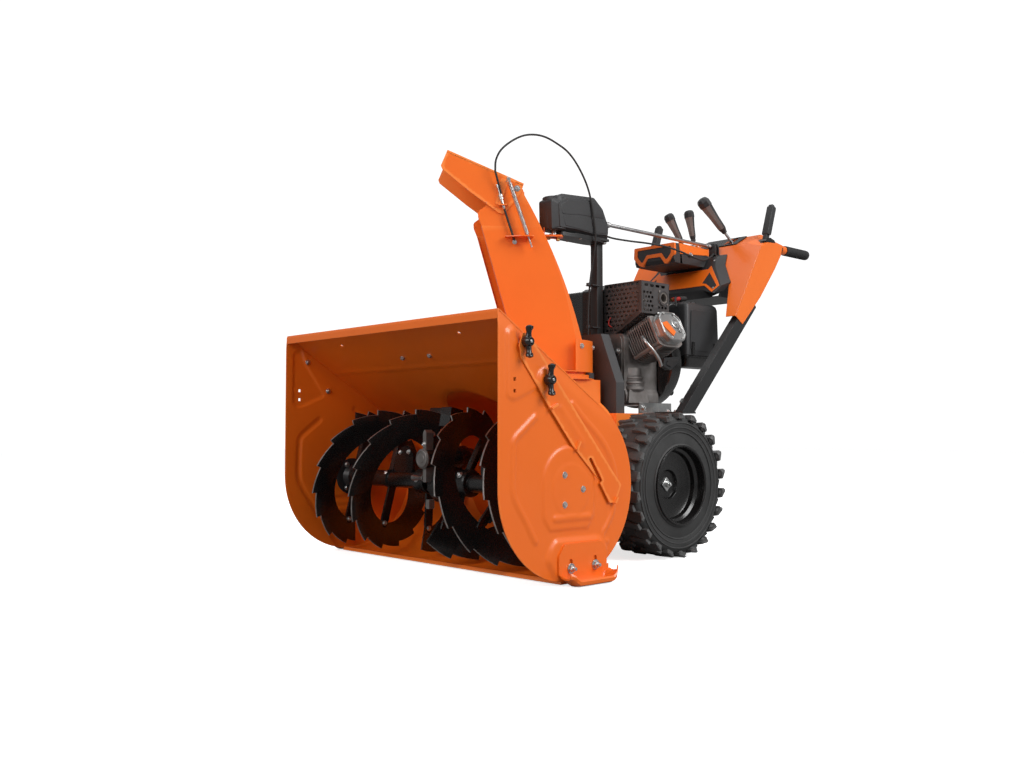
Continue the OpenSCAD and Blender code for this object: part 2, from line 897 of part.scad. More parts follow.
// Bracket from the chute's back to the drive housing above the chute's axis
module chute_yoke() {
  z = 934;
  union() {
    block([-22, -45, z], [22, 26, z + 5]);
    block([-22, -46, z], [22, -38, z + 16]);
    translate([0, 0, z]) cylinder(h = 36, r = 9);
  }
}

module deflector() {
  t = 2.5;
  side_x = chute_half_w + 2;
  top_back = [102, 1073];
  lift = deflector_lift;
  run = 240;
  along = [cos(lift), sin(lift)];
  down = [sin(lift), -cos(lift)];
  front = top_back + run * along;
  side = [top_back, front, front + 58 * down, [257, 1044], [178, 987], [164, 982], [111, 1045]];
  color(paint) in_frame() on_chute() difference() {
    union() {
      for (x = [-side_x - t, side_x]) chute_prism(x, x + t, side);
      chute_prism(-side_x, side_x, [top_back, front, front + t * down, top_back + t * down]);
      translate([0, -stud_s, stud_z]) rod_x(side_x + t, rod_lateral + 8, 3);
      block([side_x + t, -176, 1004], [side_x + t + 11, -154, 1012]);
    }
    translate([0, -hinge_s, hinge_z]) rod_x(-side_x - t - 1, side_x + t + 1, 4 + shaft_gap);
  }
}

// Frame with its origin on the stud and -Z along the spring rod
module on_rod() {
  on_chute() translate([rod_lateral, -stud_s, stud_z]) rotate([rod_lean, 0, 0]) children();
}

module deflector_rod() {
  color("gray") in_frame() on_rod() difference() {
    union() {
      rod_x(-3, 3, 9);
      translate([0, 0, -206]) cylinder(h = 200, r = 3);
    }
    rod_x(-4, 4, 3 + shaft_gap);
  }
}

module deflector_spring() {
  color("gray") in_frame() on_rod() translate([0, 0, -166]) difference() {
    cylinder(h = 154, r = 6.5);
    translate([0, 0, -1]) cylinder(h = 156, r = 3.4);
  }
}

module chute_post() {
  wall = 2.5;
  z0 = 612;
  color(black) in_frame() translate([0, post_y, 0]) union() {
    difference() {
      block([-post_half, -post_half, z0], [post_half, post_half, post_top_z]);
      block([-post_half + wall, -post_half + wall, z0 - 1], [post_half - wall, post_half - wall, post_top_z - wall]);
    }
    for (x = [-post_half - 4, post_half])
      block([x, -18, frame_top_z], [x + 4, 18, z0 + 32]);
  }
}

module chute_drive_housing() {
  r = 38;
  wall = 3;
  color(black) in_frame() difference() {
    union() {
      prism_x(-40, 40, [
        [635, 956], [700, 948], [838, 948], [849, 1000], [835, 1048], [795, 1074], [655, 1066], [635, 1050]
      ]);
      translate([0, chute_y, 956]) cylinder(h = 92, r = r);
    }
    prism_x(-40 + wall, 40 - wall, [
      [650, 962], [702, 954], [834, 954], [844, 1000], [831, 1045], [793, 1070], [657, 1061], [650, 1052]
    ]);
    translate([0, chute_y, 950]) cylinder(h = 26, r = 9 + shaft_gap);
    rod_from(chute_rod_start - 14 * chute_rod_dir, chute_rod_end, 6 + shaft_gap);
  }
}

// Round bar from point a to point b
module rod_from(a, b, r) {
  d = b - a;
  translate(a) rotate([0, acos(d[2] / norm(d)), atan2(d[1], d[0])]) cylinder(h = norm(d), r = r);
}

module chute_rod() {
  color(steel) in_frame() rod_from(chute_rod_start - 7 * chute_rod_dir, chute_rod_end - 4 * chute_rod_dir, 6);
}

module control_cables() {
  color(black) in_frame() {
    cord(DEFLECTOR_ROUTE, 3);
    cord(CHUTE_CABLE_ROUTE, 3);
  }
}

// ---- Handlebars and dash -------------------------------------------------

module handlebar() {
  half_w = post_half;
  wall = 2.5;
  tube_r = 12.7;
  difference() {
    union() {
      difference() {
        prism_x(bar_x - half_w, bar_x + half_w, [[921, 414], [982, 414], [1316, 759], [1284, 790]]);
        prism_x(bar_x - half_w + wall, bar_x + half_w - wall,
          [[925.3, 413], [980, 416], [1312, 759], [1283, 787]]);
      }
      prism_x(bar_x - 4, bar_x + 4, [[1284, 790], [1316, 759], [1440, 958], [1440, 983], [1368, 983]]);
      block([150.5, 921, frame_top_z], [bar_x + half_w, 986, 414]);
      translate([bar_x, 0, 970]) rod_y(1372, overall_l - 6, tube_r);
    }
    translate([0, clutch_y, clutch_z]) rod_x(bar_x - 13, bar_x + 13, 22);
  }
  translate([0, clutch_y, clutch_z]) rod_x(bar_x - 10, dash_x - 3, 4);
}

module handlebars() {
  color(black) in_frame() both_sides() handlebar();
}

module handle_grips() {
  color(black) in_frame() both_sides() translate([bar_x, 0, 970]) difference() {
    rod_y(1507, overall_l, 17);
    rod_y(1506, overall_l - 6, 12.7);
  }
}

// Front face of the dash at height z
function front_y(z) = 1194 + (z - 722) * (dash_y0 - 1194) / (dash_z0 - 722);

module dash_panel() {
  t = 3;
  side = [
    [dash_y0, dash_z0], [dash_y1, dash_z1], [1474, 982], [1462, 946],
    [1424, 895], [1337, 794], [1233, 697], [1194, 722]
  ];
  color(paint) in_frame() difference() {
    union() {
      both_sides() prism_x(dash_x - t, dash_x, side);
      prism_x(-dash_x, dash_x, [
        [dash_y0, dash_z0], [dash_y1, dash_z1], [dash_y1, dash_z1 - t], [dash_y0, dash_z0 - t]
      ]);
      prism_x(-dash_x, dash_x, [
        [front_y(951), 951], [dash_y0, dash_z0], [dash_y0 + t, dash_z0 - 1], [front_y(951) + t, 950]
      ]);
      both_sides() prism_x(dash_front_x + 3, dash_x, [
        [front_y(722), 722], [dash_y0, dash_z0], [dash_y0 + t, dash_z0 - 1], [front_y(722) + t, 721]
      ]);
    }
    both_sides() prism_y(1180, 1300, [[150, 700], [219, 700], [219, 725], [184, 834], [150, 834]]);
    both_sides() block([bar_x - 16, clutch_y - 18, 980], [bar_x + 14, dash_y1 + 2, 1040]);
    block([chute_lever_x - 26, lever_y - 36, 980], [chute_lever_x + 34, lever_y - 6, 1040]);
    block([deflector_lever_x - 11, lever_y - 22, 980], [deflector_lever_x + 9, dash_y1 + 1, 1040]);
    block([speed_lever_x - 20, lever_y - 42, 980], [speed_lever_x + 2, dash_y1 + 1, 1040]);
  }
}

// Pedestal under a hand lever: two cheeks and the pin that the lever turns on
module lever_pedestal(top = 12) {
  union() {
    block([-13, -12, 798 - lever_z], [13, 12, -14]);
    for (x = [-13, 9]) block([x, -12, -15], [x + 4, 12, top]);
    rod_x(-13, 13, 4);
  }
}

module dash_front() {
  t = 3;
  x = dash_front_x;
  color(black) in_frame() difference() {
    union() {
      prism_x(-x, x, [
        [1336, 946], [1298, 947], [1220, 820], [1241, 797], [1424, 797], [1424, 797 + t],
        [1246, 800], [1224, 822], [1301, 943], [1337, 943]
      ]);
      for (s = [-x, x - t])
        prism_x(s, s + t, [[1336, 946], [1298, 947], [1220, 820], [1241, 797], [1424, 797], [1424, 1014]]);
      translate([chute_lever_x, lever_y, lever_z]) rotate([0, 0, 90]) lever_pedestal(5);
      for (lever_x = [deflector_lever_x, speed_lever_x])
        translate([lever_x, lever_y, lever_z]) lever_pedestal();
      block([74, 1306, 944], [102, 1330, 992]);
    }
    rod_from(chute_rod_start, chute_rod_end + 4 * chute_rod_dir, 6 + shaft_gap);
  }
}

module headlight() {
  color(black) in_frame() difference() {
    prism_x(-85, 85, [
      [1125, 903], [1104, 916], [1106, 966], [1116, 972], [1290, 967], [1294, 947], [1268, 903]
    ]);
    prism_x(-82, 82, [
      [1126, 906], [1107, 918], [1109, 964], [1117, 969], [1287, 964], [1291, 947], [1266, 906]
    ]);
  }
}

module clutch_lever() {
  difference() {
    union() {
      translate([0, clutch_y, clutch_z]) rod_x(bar_x - 12, bar_x + 12, 11);
      prism_x(bar_x - 12, bar_x + 12, [[1384, 988], [1402, 982], [1444, 1114], [1426, 1118]]);
    }
    translate([0, clutch_y, clutch_z]) rod_x(bar_x - 13, bar_x + 13, 4 + shaft_gap);
  }
}

module clutch_lever_left() {
  color(black) in_frame() clutch_lever();
}

module clutch_lever_right() {
  color(black) in_frame() mirror([1, 0, 0]) clutch_lever();
}

// Hand grip on a thin stem, drawn straight up from the lever's pin
module lever_stick(length, head_r) {
  grip_z = length * 0.4;
  union() {
    translate([0, 0, 2]) cylinder(h = grip_z, r = 5);
    translate([0, 0, grip_z]) cylinder(h = length * 0.45, r1 = head_r * 0.7, r2 = head_r);
    translate([0, 0, length - head_r]) sphere(r = head_r);
  }
}

// Lever that swings forward and back; lean is its forward angle at rest
module swing_lever(x, lean, tilt, length, head_r) {
  translate([x, lever_y, lever_z]) difference() {
    union() {
      rod_x(-8, 8, 9);
      rotate([lean, 0, 0]) rotate([0, tilt, 0]) lever_stick(length, head_r);
    }
    rod_x(-14, 14, 4 + shaft_gap);
  }
}

module speed_lever() {
  color(black) in_frame() swing_lever(speed_lever_x, 41, -12, 230, 18);
}

module deflector_lever() {
  color(black) in_frame() swing_lever(deflector_lever_x, 11, -3, 174, 15);
}

// Lever that swings from side to side, on a pin along Y
module chute_lever() {
  color(black) in_frame() translate([chute_lever_x, lever_y, lever_z]) difference() {
    union() {
      rod_y(-8, 8, 9);
      rotate([0, -14, 0]) rotate([25, 0, 0]) lever_stick(182, 15);
    }
    rod_y(-14, 14, 4 + shaft_gap);
  }
}

side_plate_left();
side_plate_right();
housing_shell();
impeller_drum();
chute_base();
chute_retainers();
scraper_blade();
skid_shoes();
housing_fasteners();
drift_cutters();
shaft_bearings();
gear_case();
tractor_frame();
engine_plate();
transaxle();
belt_cover();
drive_belts();
crankcase();
finned_cylinder();  // cylinder
valve_cover();
muffler();
muffler_guard();
recoil_housing();
air_box();
fuel_tank();
chute_post();
chute_drive_housing();
handlebars();
dash_panel();
dash_front();
headlight();
handle_grips();
control_cables();
impeller();
impeller_shaft();
auger_shaft();
auger_left();
auger_right();
crankshaft();
traction_pulley();
tyre_left();
rim_left();
tyre_right();
rim_right();
chute();
deflector();
deflector_rod();
deflector_spring();
chute_rod();
clutch_lever_left();
clutch_lever_right();
speed_lever();
chute_lever();
deflector_lever();
recoil_handle();
fuel_cap();
upper_knob_left();
lower_knob_left();
upper_knob_right();
lower_knob_right();
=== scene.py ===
"""Looks of a two stage snowblower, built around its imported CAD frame."""

import math

import bmesh
import bpy
import numpy as np
from mathutils import Matrix, Vector, geometry


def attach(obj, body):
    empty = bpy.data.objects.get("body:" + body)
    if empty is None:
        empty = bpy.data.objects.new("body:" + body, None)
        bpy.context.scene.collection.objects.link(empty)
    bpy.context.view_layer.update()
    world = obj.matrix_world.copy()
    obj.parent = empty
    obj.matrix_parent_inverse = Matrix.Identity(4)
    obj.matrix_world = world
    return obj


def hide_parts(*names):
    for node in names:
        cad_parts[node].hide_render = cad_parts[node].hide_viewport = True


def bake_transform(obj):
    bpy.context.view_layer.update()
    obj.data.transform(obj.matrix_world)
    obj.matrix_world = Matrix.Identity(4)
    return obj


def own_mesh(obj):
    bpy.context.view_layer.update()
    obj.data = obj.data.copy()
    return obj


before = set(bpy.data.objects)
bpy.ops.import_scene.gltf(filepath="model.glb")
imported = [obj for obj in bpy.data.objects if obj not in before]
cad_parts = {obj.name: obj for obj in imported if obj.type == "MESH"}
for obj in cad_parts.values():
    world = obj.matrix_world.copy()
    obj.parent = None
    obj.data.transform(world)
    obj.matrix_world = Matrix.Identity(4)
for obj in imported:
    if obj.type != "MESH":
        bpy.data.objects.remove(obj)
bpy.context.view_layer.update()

# Shapes are drawn in millimetres: x from the middle to the operator's left,
# y back from the housing's front edge, z up from the ground.
MM = 0.001
LENGTH = 1648
NEAR = 1e-6


def to_row(v):
    """Point of the drawing in metres, in the frame of the CAD parts."""
    return Vector((v[0] * MM, (v[1] - LENGTH / 2) * MM, v[2] * MM))


# ---- Materials ------------------------------------------------------------


def material(name, low, high, rough, metal=0.0, grain=400.0, bump=0.05, patch=9.0,
             coat=0.0, spread=0.08, wear=None, stretch=(1, 1, 1), specular=0.5):
    """Colour and roughness that vary in patches, a fine surface grain and, if wear is given, rubbed edges."""
    m = bpy.data.materials.new(name)
    m.use_nodes = True
    tree = m.node_tree
    nodes, links = tree.nodes, tree.links
    shader = nodes["Principled BSDF"]
    coords = nodes.new("ShaderNodeTexCoord")
    mapping = nodes.new("ShaderNodeMapping")
    mapping.inputs["Scale"].default_value = stretch
    links.new(coords.outputs["Object"], mapping.inputs["Vector"])

    def noise(scale, detail):
        n = nodes.new("ShaderNodeTexNoise")
        n.inputs["Scale"].default_value = scale
        n.inputs["Detail"].default_value = detail
        links.new(mapping.outputs["Vector"], n.inputs["Vector"])
        return n

    broad = noise(patch, 4)
    ramp = nodes.new("ShaderNodeValToRGB")
    ramp.color_ramp.elements[0].position = 0.3
    ramp.color_ramp.elements[1].position = 0.7
    ramp.color_ramp.elements[0].color = (*low, 1)
    ramp.color_ramp.elements[1].color = (*high, 1)
    links.new(broad.outputs["Fac"], ramp.inputs["Fac"])
    colour = ramp.outputs["Color"]
    if wear:
        geo = nodes.new("ShaderNodeNewGeometry")
        edge = nodes.new("ShaderNodeMapRange")
        edge.inputs["From Min"].default_value = 0.54
        edge.inputs["From Max"].default_value = 0.66
        links.new(geo.outputs["Pointiness"], edge.inputs["Value"])
        mix = nodes.new("ShaderNodeMix")
        mix.data_type = "RGBA"
        links.new(edge.outputs["Result"], mix.inputs["Factor"])
        links.new(colour, mix.inputs["A"])
        mix.inputs["B"].default_value = (*wear, 1)
        colour = mix.outputs["Result"]
    links.new(colour, shader.inputs["Base Color"])
    fine = noise(grain, 3)
    gloss = nodes.new("ShaderNodeMapRange")
    gloss.inputs["To Min"].default_value = max(0.03, rough - spread)
    gloss.inputs["To Max"].default_value = min(1, rough + spread)
    links.new(fine.outputs["Fac"], gloss.inputs["Value"])
    links.new(gloss.outputs["Result"], shader.inputs["Roughness"])
    relief = nodes.new("ShaderNodeBump")
    relief.inputs["Strength"].default_value = bump
    relief.inputs["Distance"].default_value = 0.001
    links.new(fine.outputs["Fac"], relief.inputs["Height"])
    links.new(relief.outputs["Normal"], shader.inputs["Normal"])
    for socket, value in (("Metallic", metal), ("Coat Weight", coat), ("Coat Roughness", 0.12),
                          ("Specular IOR Level", specular)):
        shader.inputs[socket].default_value = value
    return m


ORANGE = material("orange_powder_coat", (0.84, 0.147, 0.008), (0.87, 0.160, 0.010),
                  0.34, grain=900, bump=0.03, coat=0.15, patch=5, wear=(0.93, 0.24, 0.04))
BLACK = material("black_powder_coat", (0.010, 0.010, 0.011), (0.016, 0.016, 0.017), 0.40,
                 grain=800, bump=0.06, wear=(0.05, 0.05, 0.05))
GLOSS_BLACK = material("gloss_black_paint", (0.0045, 0.0042, 0.0042),
                       (0.008, 0.007, 0.007), 0.27, grain=500, bump=0.04, coat=0.2)
PLASTIC = material("moulded_plastic", (0.020, 0.020, 0.021), (0.028, 0.028, 0.030),
                   0.50, grain=1600, bump=0.10, wear=(0.05, 0.05, 0.052))
GREY_PLASTIC = material("grey_grip", (0.15, 0.128, 0.118), (0.20, 0.17, 0.16), 0.55,
                        grain=1500, bump=0.12)
RUBBER = material("rubber", (0.013, 0.013, 0.013), (0.022, 0.022, 0.022), 0.72,
                  grain=900, bump=0.12, spread=0.1)
TYRE = material("tyre_rubber", (0.020, 0.020, 0.020), (0.036, 0.036, 0.036), 0.66,
                grain=500, bump=0.16, patch=14, spread=0.12, wear=(0.08, 0.08, 0.08))
LUG = material("lug_rubber", (0.007, 0.007, 0.007), (0.013, 0.013, 0.013), 0.6,
               grain=400, bump=0.14, patch=14, wear=(0.10, 0.10, 0.10))
ZINC = material("zinc_plate", (0.55, 0.56, 0.57), (0.72, 0.72, 0.70), 0.30, metal=1,
                grain=700, bump=0.05, patch=60)
STEEL = material("bare_steel", (0.40, 0.40, 0.41), (0.62, 0.61, 0.60), 0.33, metal=1,
                 grain=300, bump=0.08, patch=40, stretch=(1, 1, 3))
EDGE_STEEL = material("worn_edge_steel", (0.30, 0.27, 0.25), (0.55, 0.52, 0.50), 0.40,
                      metal=1, grain=300, bump=0.1, patch=50)
CAST = material("cast_alloy", (0.20, 0.18, 0.17), (0.33, 0.31, 0.30), 0.48,
                metal=0.85, grain=500, bump=0.25, patch=25)
BRIGHT_CAST = material("machined_aluminium", (0.36, 0.36, 0.36), (0.50, 0.50, 0.49),
                       0.34, metal=0.9, grain=500, bump=0.08, patch=25)
EXHAUST = material("heat_darkened_steel", (0.22, 0.19, 0.17), (0.40, 0.36, 0.33), 0.40,
                   metal=0.7, grain=450, bump=0.15, patch=20)
GUARD = material("guard_enamel", (0.012, 0.011, 0.011), (0.022, 0.020, 0.020), 0.38,
                 metal=0.2, grain=450, bump=0.08, wear=(0.12, 0.11, 0.11))
BRASS = material("brass", (0.55, 0.34, 0.12), (0.70, 0.46, 0.18), 0.35, metal=1,
                 grain=400, bump=0.05)
LENS = material("lamp_lens", (0.22, 0.23, 0.24), (0.32, 0.33, 0.34), 0.16, metal=0.3,
                grain=90, bump=0.25, coat=0.6, patch=60)
RED = material("red_plastic", (0.30, 0.012, 0.010), (0.40, 0.02, 0.015), 0.4,
               grain=800, bump=0.05)
FLOOR = material("pale_floor", (0.90, 0.90, 0.90), (0.92, 0.92, 0.92), 0.9, grain=60, bump=0.01,
                 patch=1, specular=0.0)


# ---- Mesh building --------------------------------------------------------

AXES = {"x": (Vector((0, 1, 0)), Vector((0, 0, 1)), Vector((1, 0, 0))),
        "y": (Vector((1, 0, 0)), Vector((0, 0, 1)), Vector((0, 1, 0))),
        "z": (Vector((1, 0, 0)), Vector((0, 1, 0)), Vector((0, 0, 1)))}


# The axes' directions by name, such as "-x"
WAYS = {sign + axis: AXES[axis][2] * (1 if sign == "+" else -1) for axis in "xyz" for sign in "+-"}


class Shape:
    """Closed solids that become one piece. Each has a material number; move places what is added."""

    def __init__(self, move=None):
        self.verts, self.faces, self.mats = [], [], []
        self.move = move

    def add(self, verts, faces, mat=0, move=None):
        base = len(self.verts)
        place = self.move if move is None else (self.move @ move if self.move else move)
        for v in verts:
            v = Vector(v)
            self.verts.append(place @ v if place else v)
        self.faces += [[base + i for i in f] for f in faces]
        self.mats += [mat] * len(faces) if isinstance(mat, int) else mat
        return self

    def prism(self, points, axis, lo, hi, mat=0, move=None):
        """An outline square to an axis, drawn out from lo to hi."""
        u, v, w = AXES[axis]
        n = len(points)
        verts = [u * p[0] + v * p[1] + w * h for h in (lo, hi) for p in points]
        faces = [list(range(n)), list(range(2 * n - 1, n - 1, -1))]
        faces += [[i, (i + 1) % n, n + (i + 1) % n, n + i] for i in range(n)]
        return self.add(verts, faces, mat, move)

    def box(self, lo, hi, mat=0, move=None):
        outline = [(lo[0], lo[1]), (hi[0], lo[1]), (hi[0], hi[1]), (lo[0], hi[1])]
        return self.prism(outline, "z", lo[2], hi[2], mat, move)

    def rings(self, rings, mat=0, closed=False, move=None):
        """A skin through rings of points, capped at both ends unless closed on itself."""
        n, count = len(rings[0]), len(rings)
        verts = [p for ring in rings for p in ring]
        last = count if closed else count - 1
        faces = [[i * n + k, i * n + (k + 1) % n, (i + 1) % count * n + (k + 1) % n, (i + 1) % count * n + k]
                 for i in range(last) for k in range(n)]
        if not closed:
            faces += [list(range(n - 1, -1, -1)), list(range((count - 1) * n, count * n))]
        return self.add(verts, faces, mat, move)

    def lathe(self, profile, start, end, sides=48, mat=0, closed=False, move=None):
        """Profile points are (distance from start, radius). It turns about the line from start to the point
        end, or about an axis that end names, such as "+x"."""
        start = Vector(start)
        along = WAYS[end] if isinstance(end, str) else (Vector(end) - start).normalized()
        u, v = across(along)
        turn = [2 * math.pi * k / sides for k in range(sides)]
        rings = [[start + along * h + (u * math.cos(t) + v * math.sin(t)) * max(r, 0.02) for t in turn]
                 for h, r in profile]
        return self.rings(rings, mat, closed, move)

    def rod(self, a, b, r, sides=24, mat=0, move=None):
        d = (Vector(b) - Vector(a)).length
        return self.lathe([(0, r), (d, r)], a, b, sides, mat, move=move)

    def ball(self, centre, r, mat=0, sides=20, move=None):
        c = Vector(centre)
        top = Vector((0, 0, r))
        profile = [(r - r * math.cos(math.pi * k / 12), r * math.sin(math.pi * k / 12)) for k in range(13)]
        return self.lathe(profile, c - top, c + top, sides, mat, move=move)

    def tube(self, path, r, sides=12, mat=0, move=None):
        """A round bar along a path; r is one radius, or one for each point."""
        path = [Vector(p) for p in path]
        radii = r if isinstance(r, list) else [r] * len(path)
        u = None
        rings = []
        for i, p in enumerate(path):
            t = (path[min(i + 1, len(path) - 1)] - path[max(i - 1, 0)]).normalized()
            u = across(t)[0] if u is None else (u - t * u.dot(t)).normalized()
            v = t.cross(u)
            rings.append([p + (u * math.cos(a) + v * math.sin(a)) * radii[i]
                          for a in (2 * math.pi * k / sides for k in range(sides))])
        return self.rings(rings, mat, move=move)

    def bolt(self, at, out, r=6.5, h=5, mat=0, washer=True, move=None):
        """A hexagon head with a washer, a chamfer and a dished middle."""
        at, out = Vector(at), Vector(out).normalized()
        if washer:
            self.lathe([(0, r * 1.55), (1.6, r * 1.55), (1.6, 0)], at, at + out, 28, mat, move=move)
        lift = 1.6 if washer else 0
        self.lathe([(lift, r * 1.15), (lift + h * 0.8, r * 1.15), (lift + h, r * 0.95), (lift + h, r * 0.6),
                    (lift + h * 0.85, r * 0.5), (lift + h * 0.85, 0)], at, at + out, 6, mat, move=move)
        return self

    def nut(self, at, out, r=8, h=7, stud_r=4.5, stud=10, mat=0, move=None):
        """A hexagon nut on a washer, with the end of its stud."""
        at, out = Vector(at), Vector(out).normalized()
        self.lathe([(0, r * 1.6), (1.8, r * 1.6), (1.8, 0)], at, at + out, 32, mat, move=move)
        self.lathe([(1.8, r * 1.15), (h, r * 1.15), (h + 1.8, r * 0.95), (h + 1.8, 0)],
                   at, at + out, 6, mat, move=move)
        self.lathe([(h, stud_r), (h + stud - 1.2, stud_r), (h + stud, stud_r - 1.2), (h + stud, 0)],
                   at, at + out, 20, mat, move=move)
        return self

    def mirrored(self):
        """A copy on the other side of the machine's middle plane."""
        twin = Shape()
        twin.verts = [Vector((-v[0], v[1], v[2])) for v in self.verts]
        twin.faces = [f[::-1] for f in self.faces]
        twin.mats = list(self.mats)
        return twin

    def both(self):
        """This shape and its mirror image."""
        twin = self.mirrored()
        return self.add(twin.verts, twin.faces, twin.mats, Matrix.Identity(4))

    def piece(self, name, body, materials, replaces=(), bevel=0.0, angle=32):
        """Makes the Blender object; angle is the sharpest bend that is shaded smooth and not bevelled."""
        mesh = bpy.data.meshes.new(name)
        mesh.from_pydata([to_row(v) for v in self.verts], [], self.faces)
        for i, m in enumerate(self.mats):
            mesh.polygons[i].material_index = m
        for m in materials:
            mesh.materials.append(m)
        bm = bmesh.new()
        bm.from_mesh(mesh)
        bmesh.ops.recalc_face_normals(bm, faces=bm.faces)
        for f in bm.faces:
            f.smooth = True
        limit = math.radians(angle)
        for e in bm.edges:
            e.smooth = len(e.link_faces) == 2 and e.calc_face_angle(0) < limit
        bm.to_mesh(mesh)
        bm.free()
        obj = bpy.data.objects.new(name, mesh)
        bpy.context.scene.collection.objects.link(obj)
        round_edges(obj, bevel, limit)
        if body:
            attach(obj, body)
        if replaces:
            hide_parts(*([replaces] if isinstance(replaces, str) else replaces))
        return obj


def round_edges(obj, width, limit):
    """Bevels the edges that bend by more than limit."""
    if not width:
        return
    mod = obj.modifiers.new("bevel", "BEVEL")
    mod.width = width * MM
    mod.segments = 2
    mod.limit_method = "ANGLE"
    mod.angle_limit = limit
    mod.harden_normals = True


def across(along):
    """Two directions square to a direction."""
    side = Vector((0, 0, 1)) if abs(along.z) < 0.9 else Vector((1, 0, 0))
    u = along.cross(side).normalized()
    return u, along.cross(u)


def arc(centre, r, a0, a1, n):
    """Points on a circle from angle a0 to a1, in degrees."""
    return [(centre[0] + r * math.cos(math.radians(a0 + (a1 - a0) * k / n)),
             centre[1] + r * math.sin(math.radians(a0 + (a1 - a0) * k / n))) for k in range(n + 1)]


def rect(u0, v0, u1, v1):
    """An upright rectangle through two opposite corners."""
    return [(u0, v0), (u1, v0), (u1, v1), (u0, v1)]


def mirror(points):
    """A half outline and its mirror image, as one loop."""
    return points + [(-x, z) for x, z in points[::-1]]


def spots(n, r, centre, first=0):
    """Points spread evenly round a circle, from the angle first on, each with its angle."""
    turns = [math.radians(first + 360 * k / n) for k in range(n)]
    return [(a, (centre[0] + r * math.cos(a), centre[1] + r * math.sin(a))) for a in turns]


def rounded(points, r, n=4):
    """A polygon with its corners rounded by about r, or by one radius for each corner."""
    out = []
    count = len(points)
    for i, p in enumerate(points):
        radius = r[i] if isinstance(r, (list, tuple)) else r
        a, b, c = Vector(points[i - 1]), Vector(p), Vector(points[(i + 1) % count])
        if radius <= 0:
            out.append(tuple(b))
            continue
        back, on = (a - b), (c - b)
        d = min(radius, back.length * 0.45, on.length * 0.45)
        s, e = b + back.normalized() * d, b + on.normalized() * d
        for k in range(n + 1):
            t = k / n
            out.append(tuple(s * (1 - t) ** 2 + b * 2 * t * (1 - t) + e * t * t))
    return out


def smooth_path(points, step=6.0):
    """A Catmull-Rom curve through points, about step apart."""
    p = [Vector(q) for q in points]
    p = [p[0] * 2 - p[1], *p, p[-1] * 2 - p[-2]]
    out = []
    for i in range(1, len(p) - 2):
        n = max(1, round((p[i + 1] - p[i]).length / step))
        for k in range(n):
            t = k / n
            out.append(0.5 * (2 * p[i] + (p[i + 1] - p[i - 1]) * t
                              + (2 * p[i - 1] - 5 * p[i] + 4 * p[i + 1] - p[i + 2]) * t * t
                              + (3 * p[i] - p[i - 1] - 3 * p[i + 1] + p[i + 2]) * t ** 3))
    return out + [p[-2]]


def distance(u, v, path, closed=False):
    """Distance of points (u, v) to a line of points."""
    best = np.full(u.shape, 1e9)
    last = len(path) if closed else len(path) - 1
    for i in range(last):
        (ax, ay), (bx, by) = path[i][:2], path[(i + 1) % len(path)][:2]
        dx, dy = bx - ax, by - ay
        t = np.clip(((u - ax) * dx + (v - ay) * dy) / max(dx * dx + dy * dy, NEAR), 0, 1)
        best = np.minimum(best, np.hypot(u - ax - t * dx, v - ay - t * dy))
    return best


def inside(u, v, loop):
    """Which of the points (u, v) lie inside a loop."""
    hit = np.zeros(u.shape, bool)
    for i in range(len(loop)):
        (ax, ay), (bx, by) = loop[i][:2], loop[(i + 1) % len(loop)][:2]
        if ay == by:
            continue
        hit ^= ((ay > v) != (by > v)) & (u < (bx - ax) * (v - ay) / (by - ay) + ax)
    return hit


def step_up(t):
    """A smooth step from 0 to 1."""
    t = np.clip(t, 0, 1)
    return t * t * (3 - 2 * t)


def bead(u, v, path, half, h):
    """Height of a rounded rib along a path."""
    return h * step_up(1.25 - distance(u, v, path) / half)


def pad(u, v, loop, edge, h):
    """Height of a raised panel with sloping edges."""
    d = distance(u, v, loop, True) * np.where(inside(u, v, loop), 1, -1)
    return h * step_up(d / edge + 0.5)


def split_loop(loop, step):
    """A loop with points no further apart than step."""
    out = []
    for i, p in enumerate(loop):
        q = loop[(i + 1) % len(loop)]
        n = max(1, math.ceil(math.dist(p, q) / step))
        out += [(p[0] + (q[0] - p[0]) * k / n, p[1] + (q[1] - p[1]) * k / n) for k in range(n)]
    return out


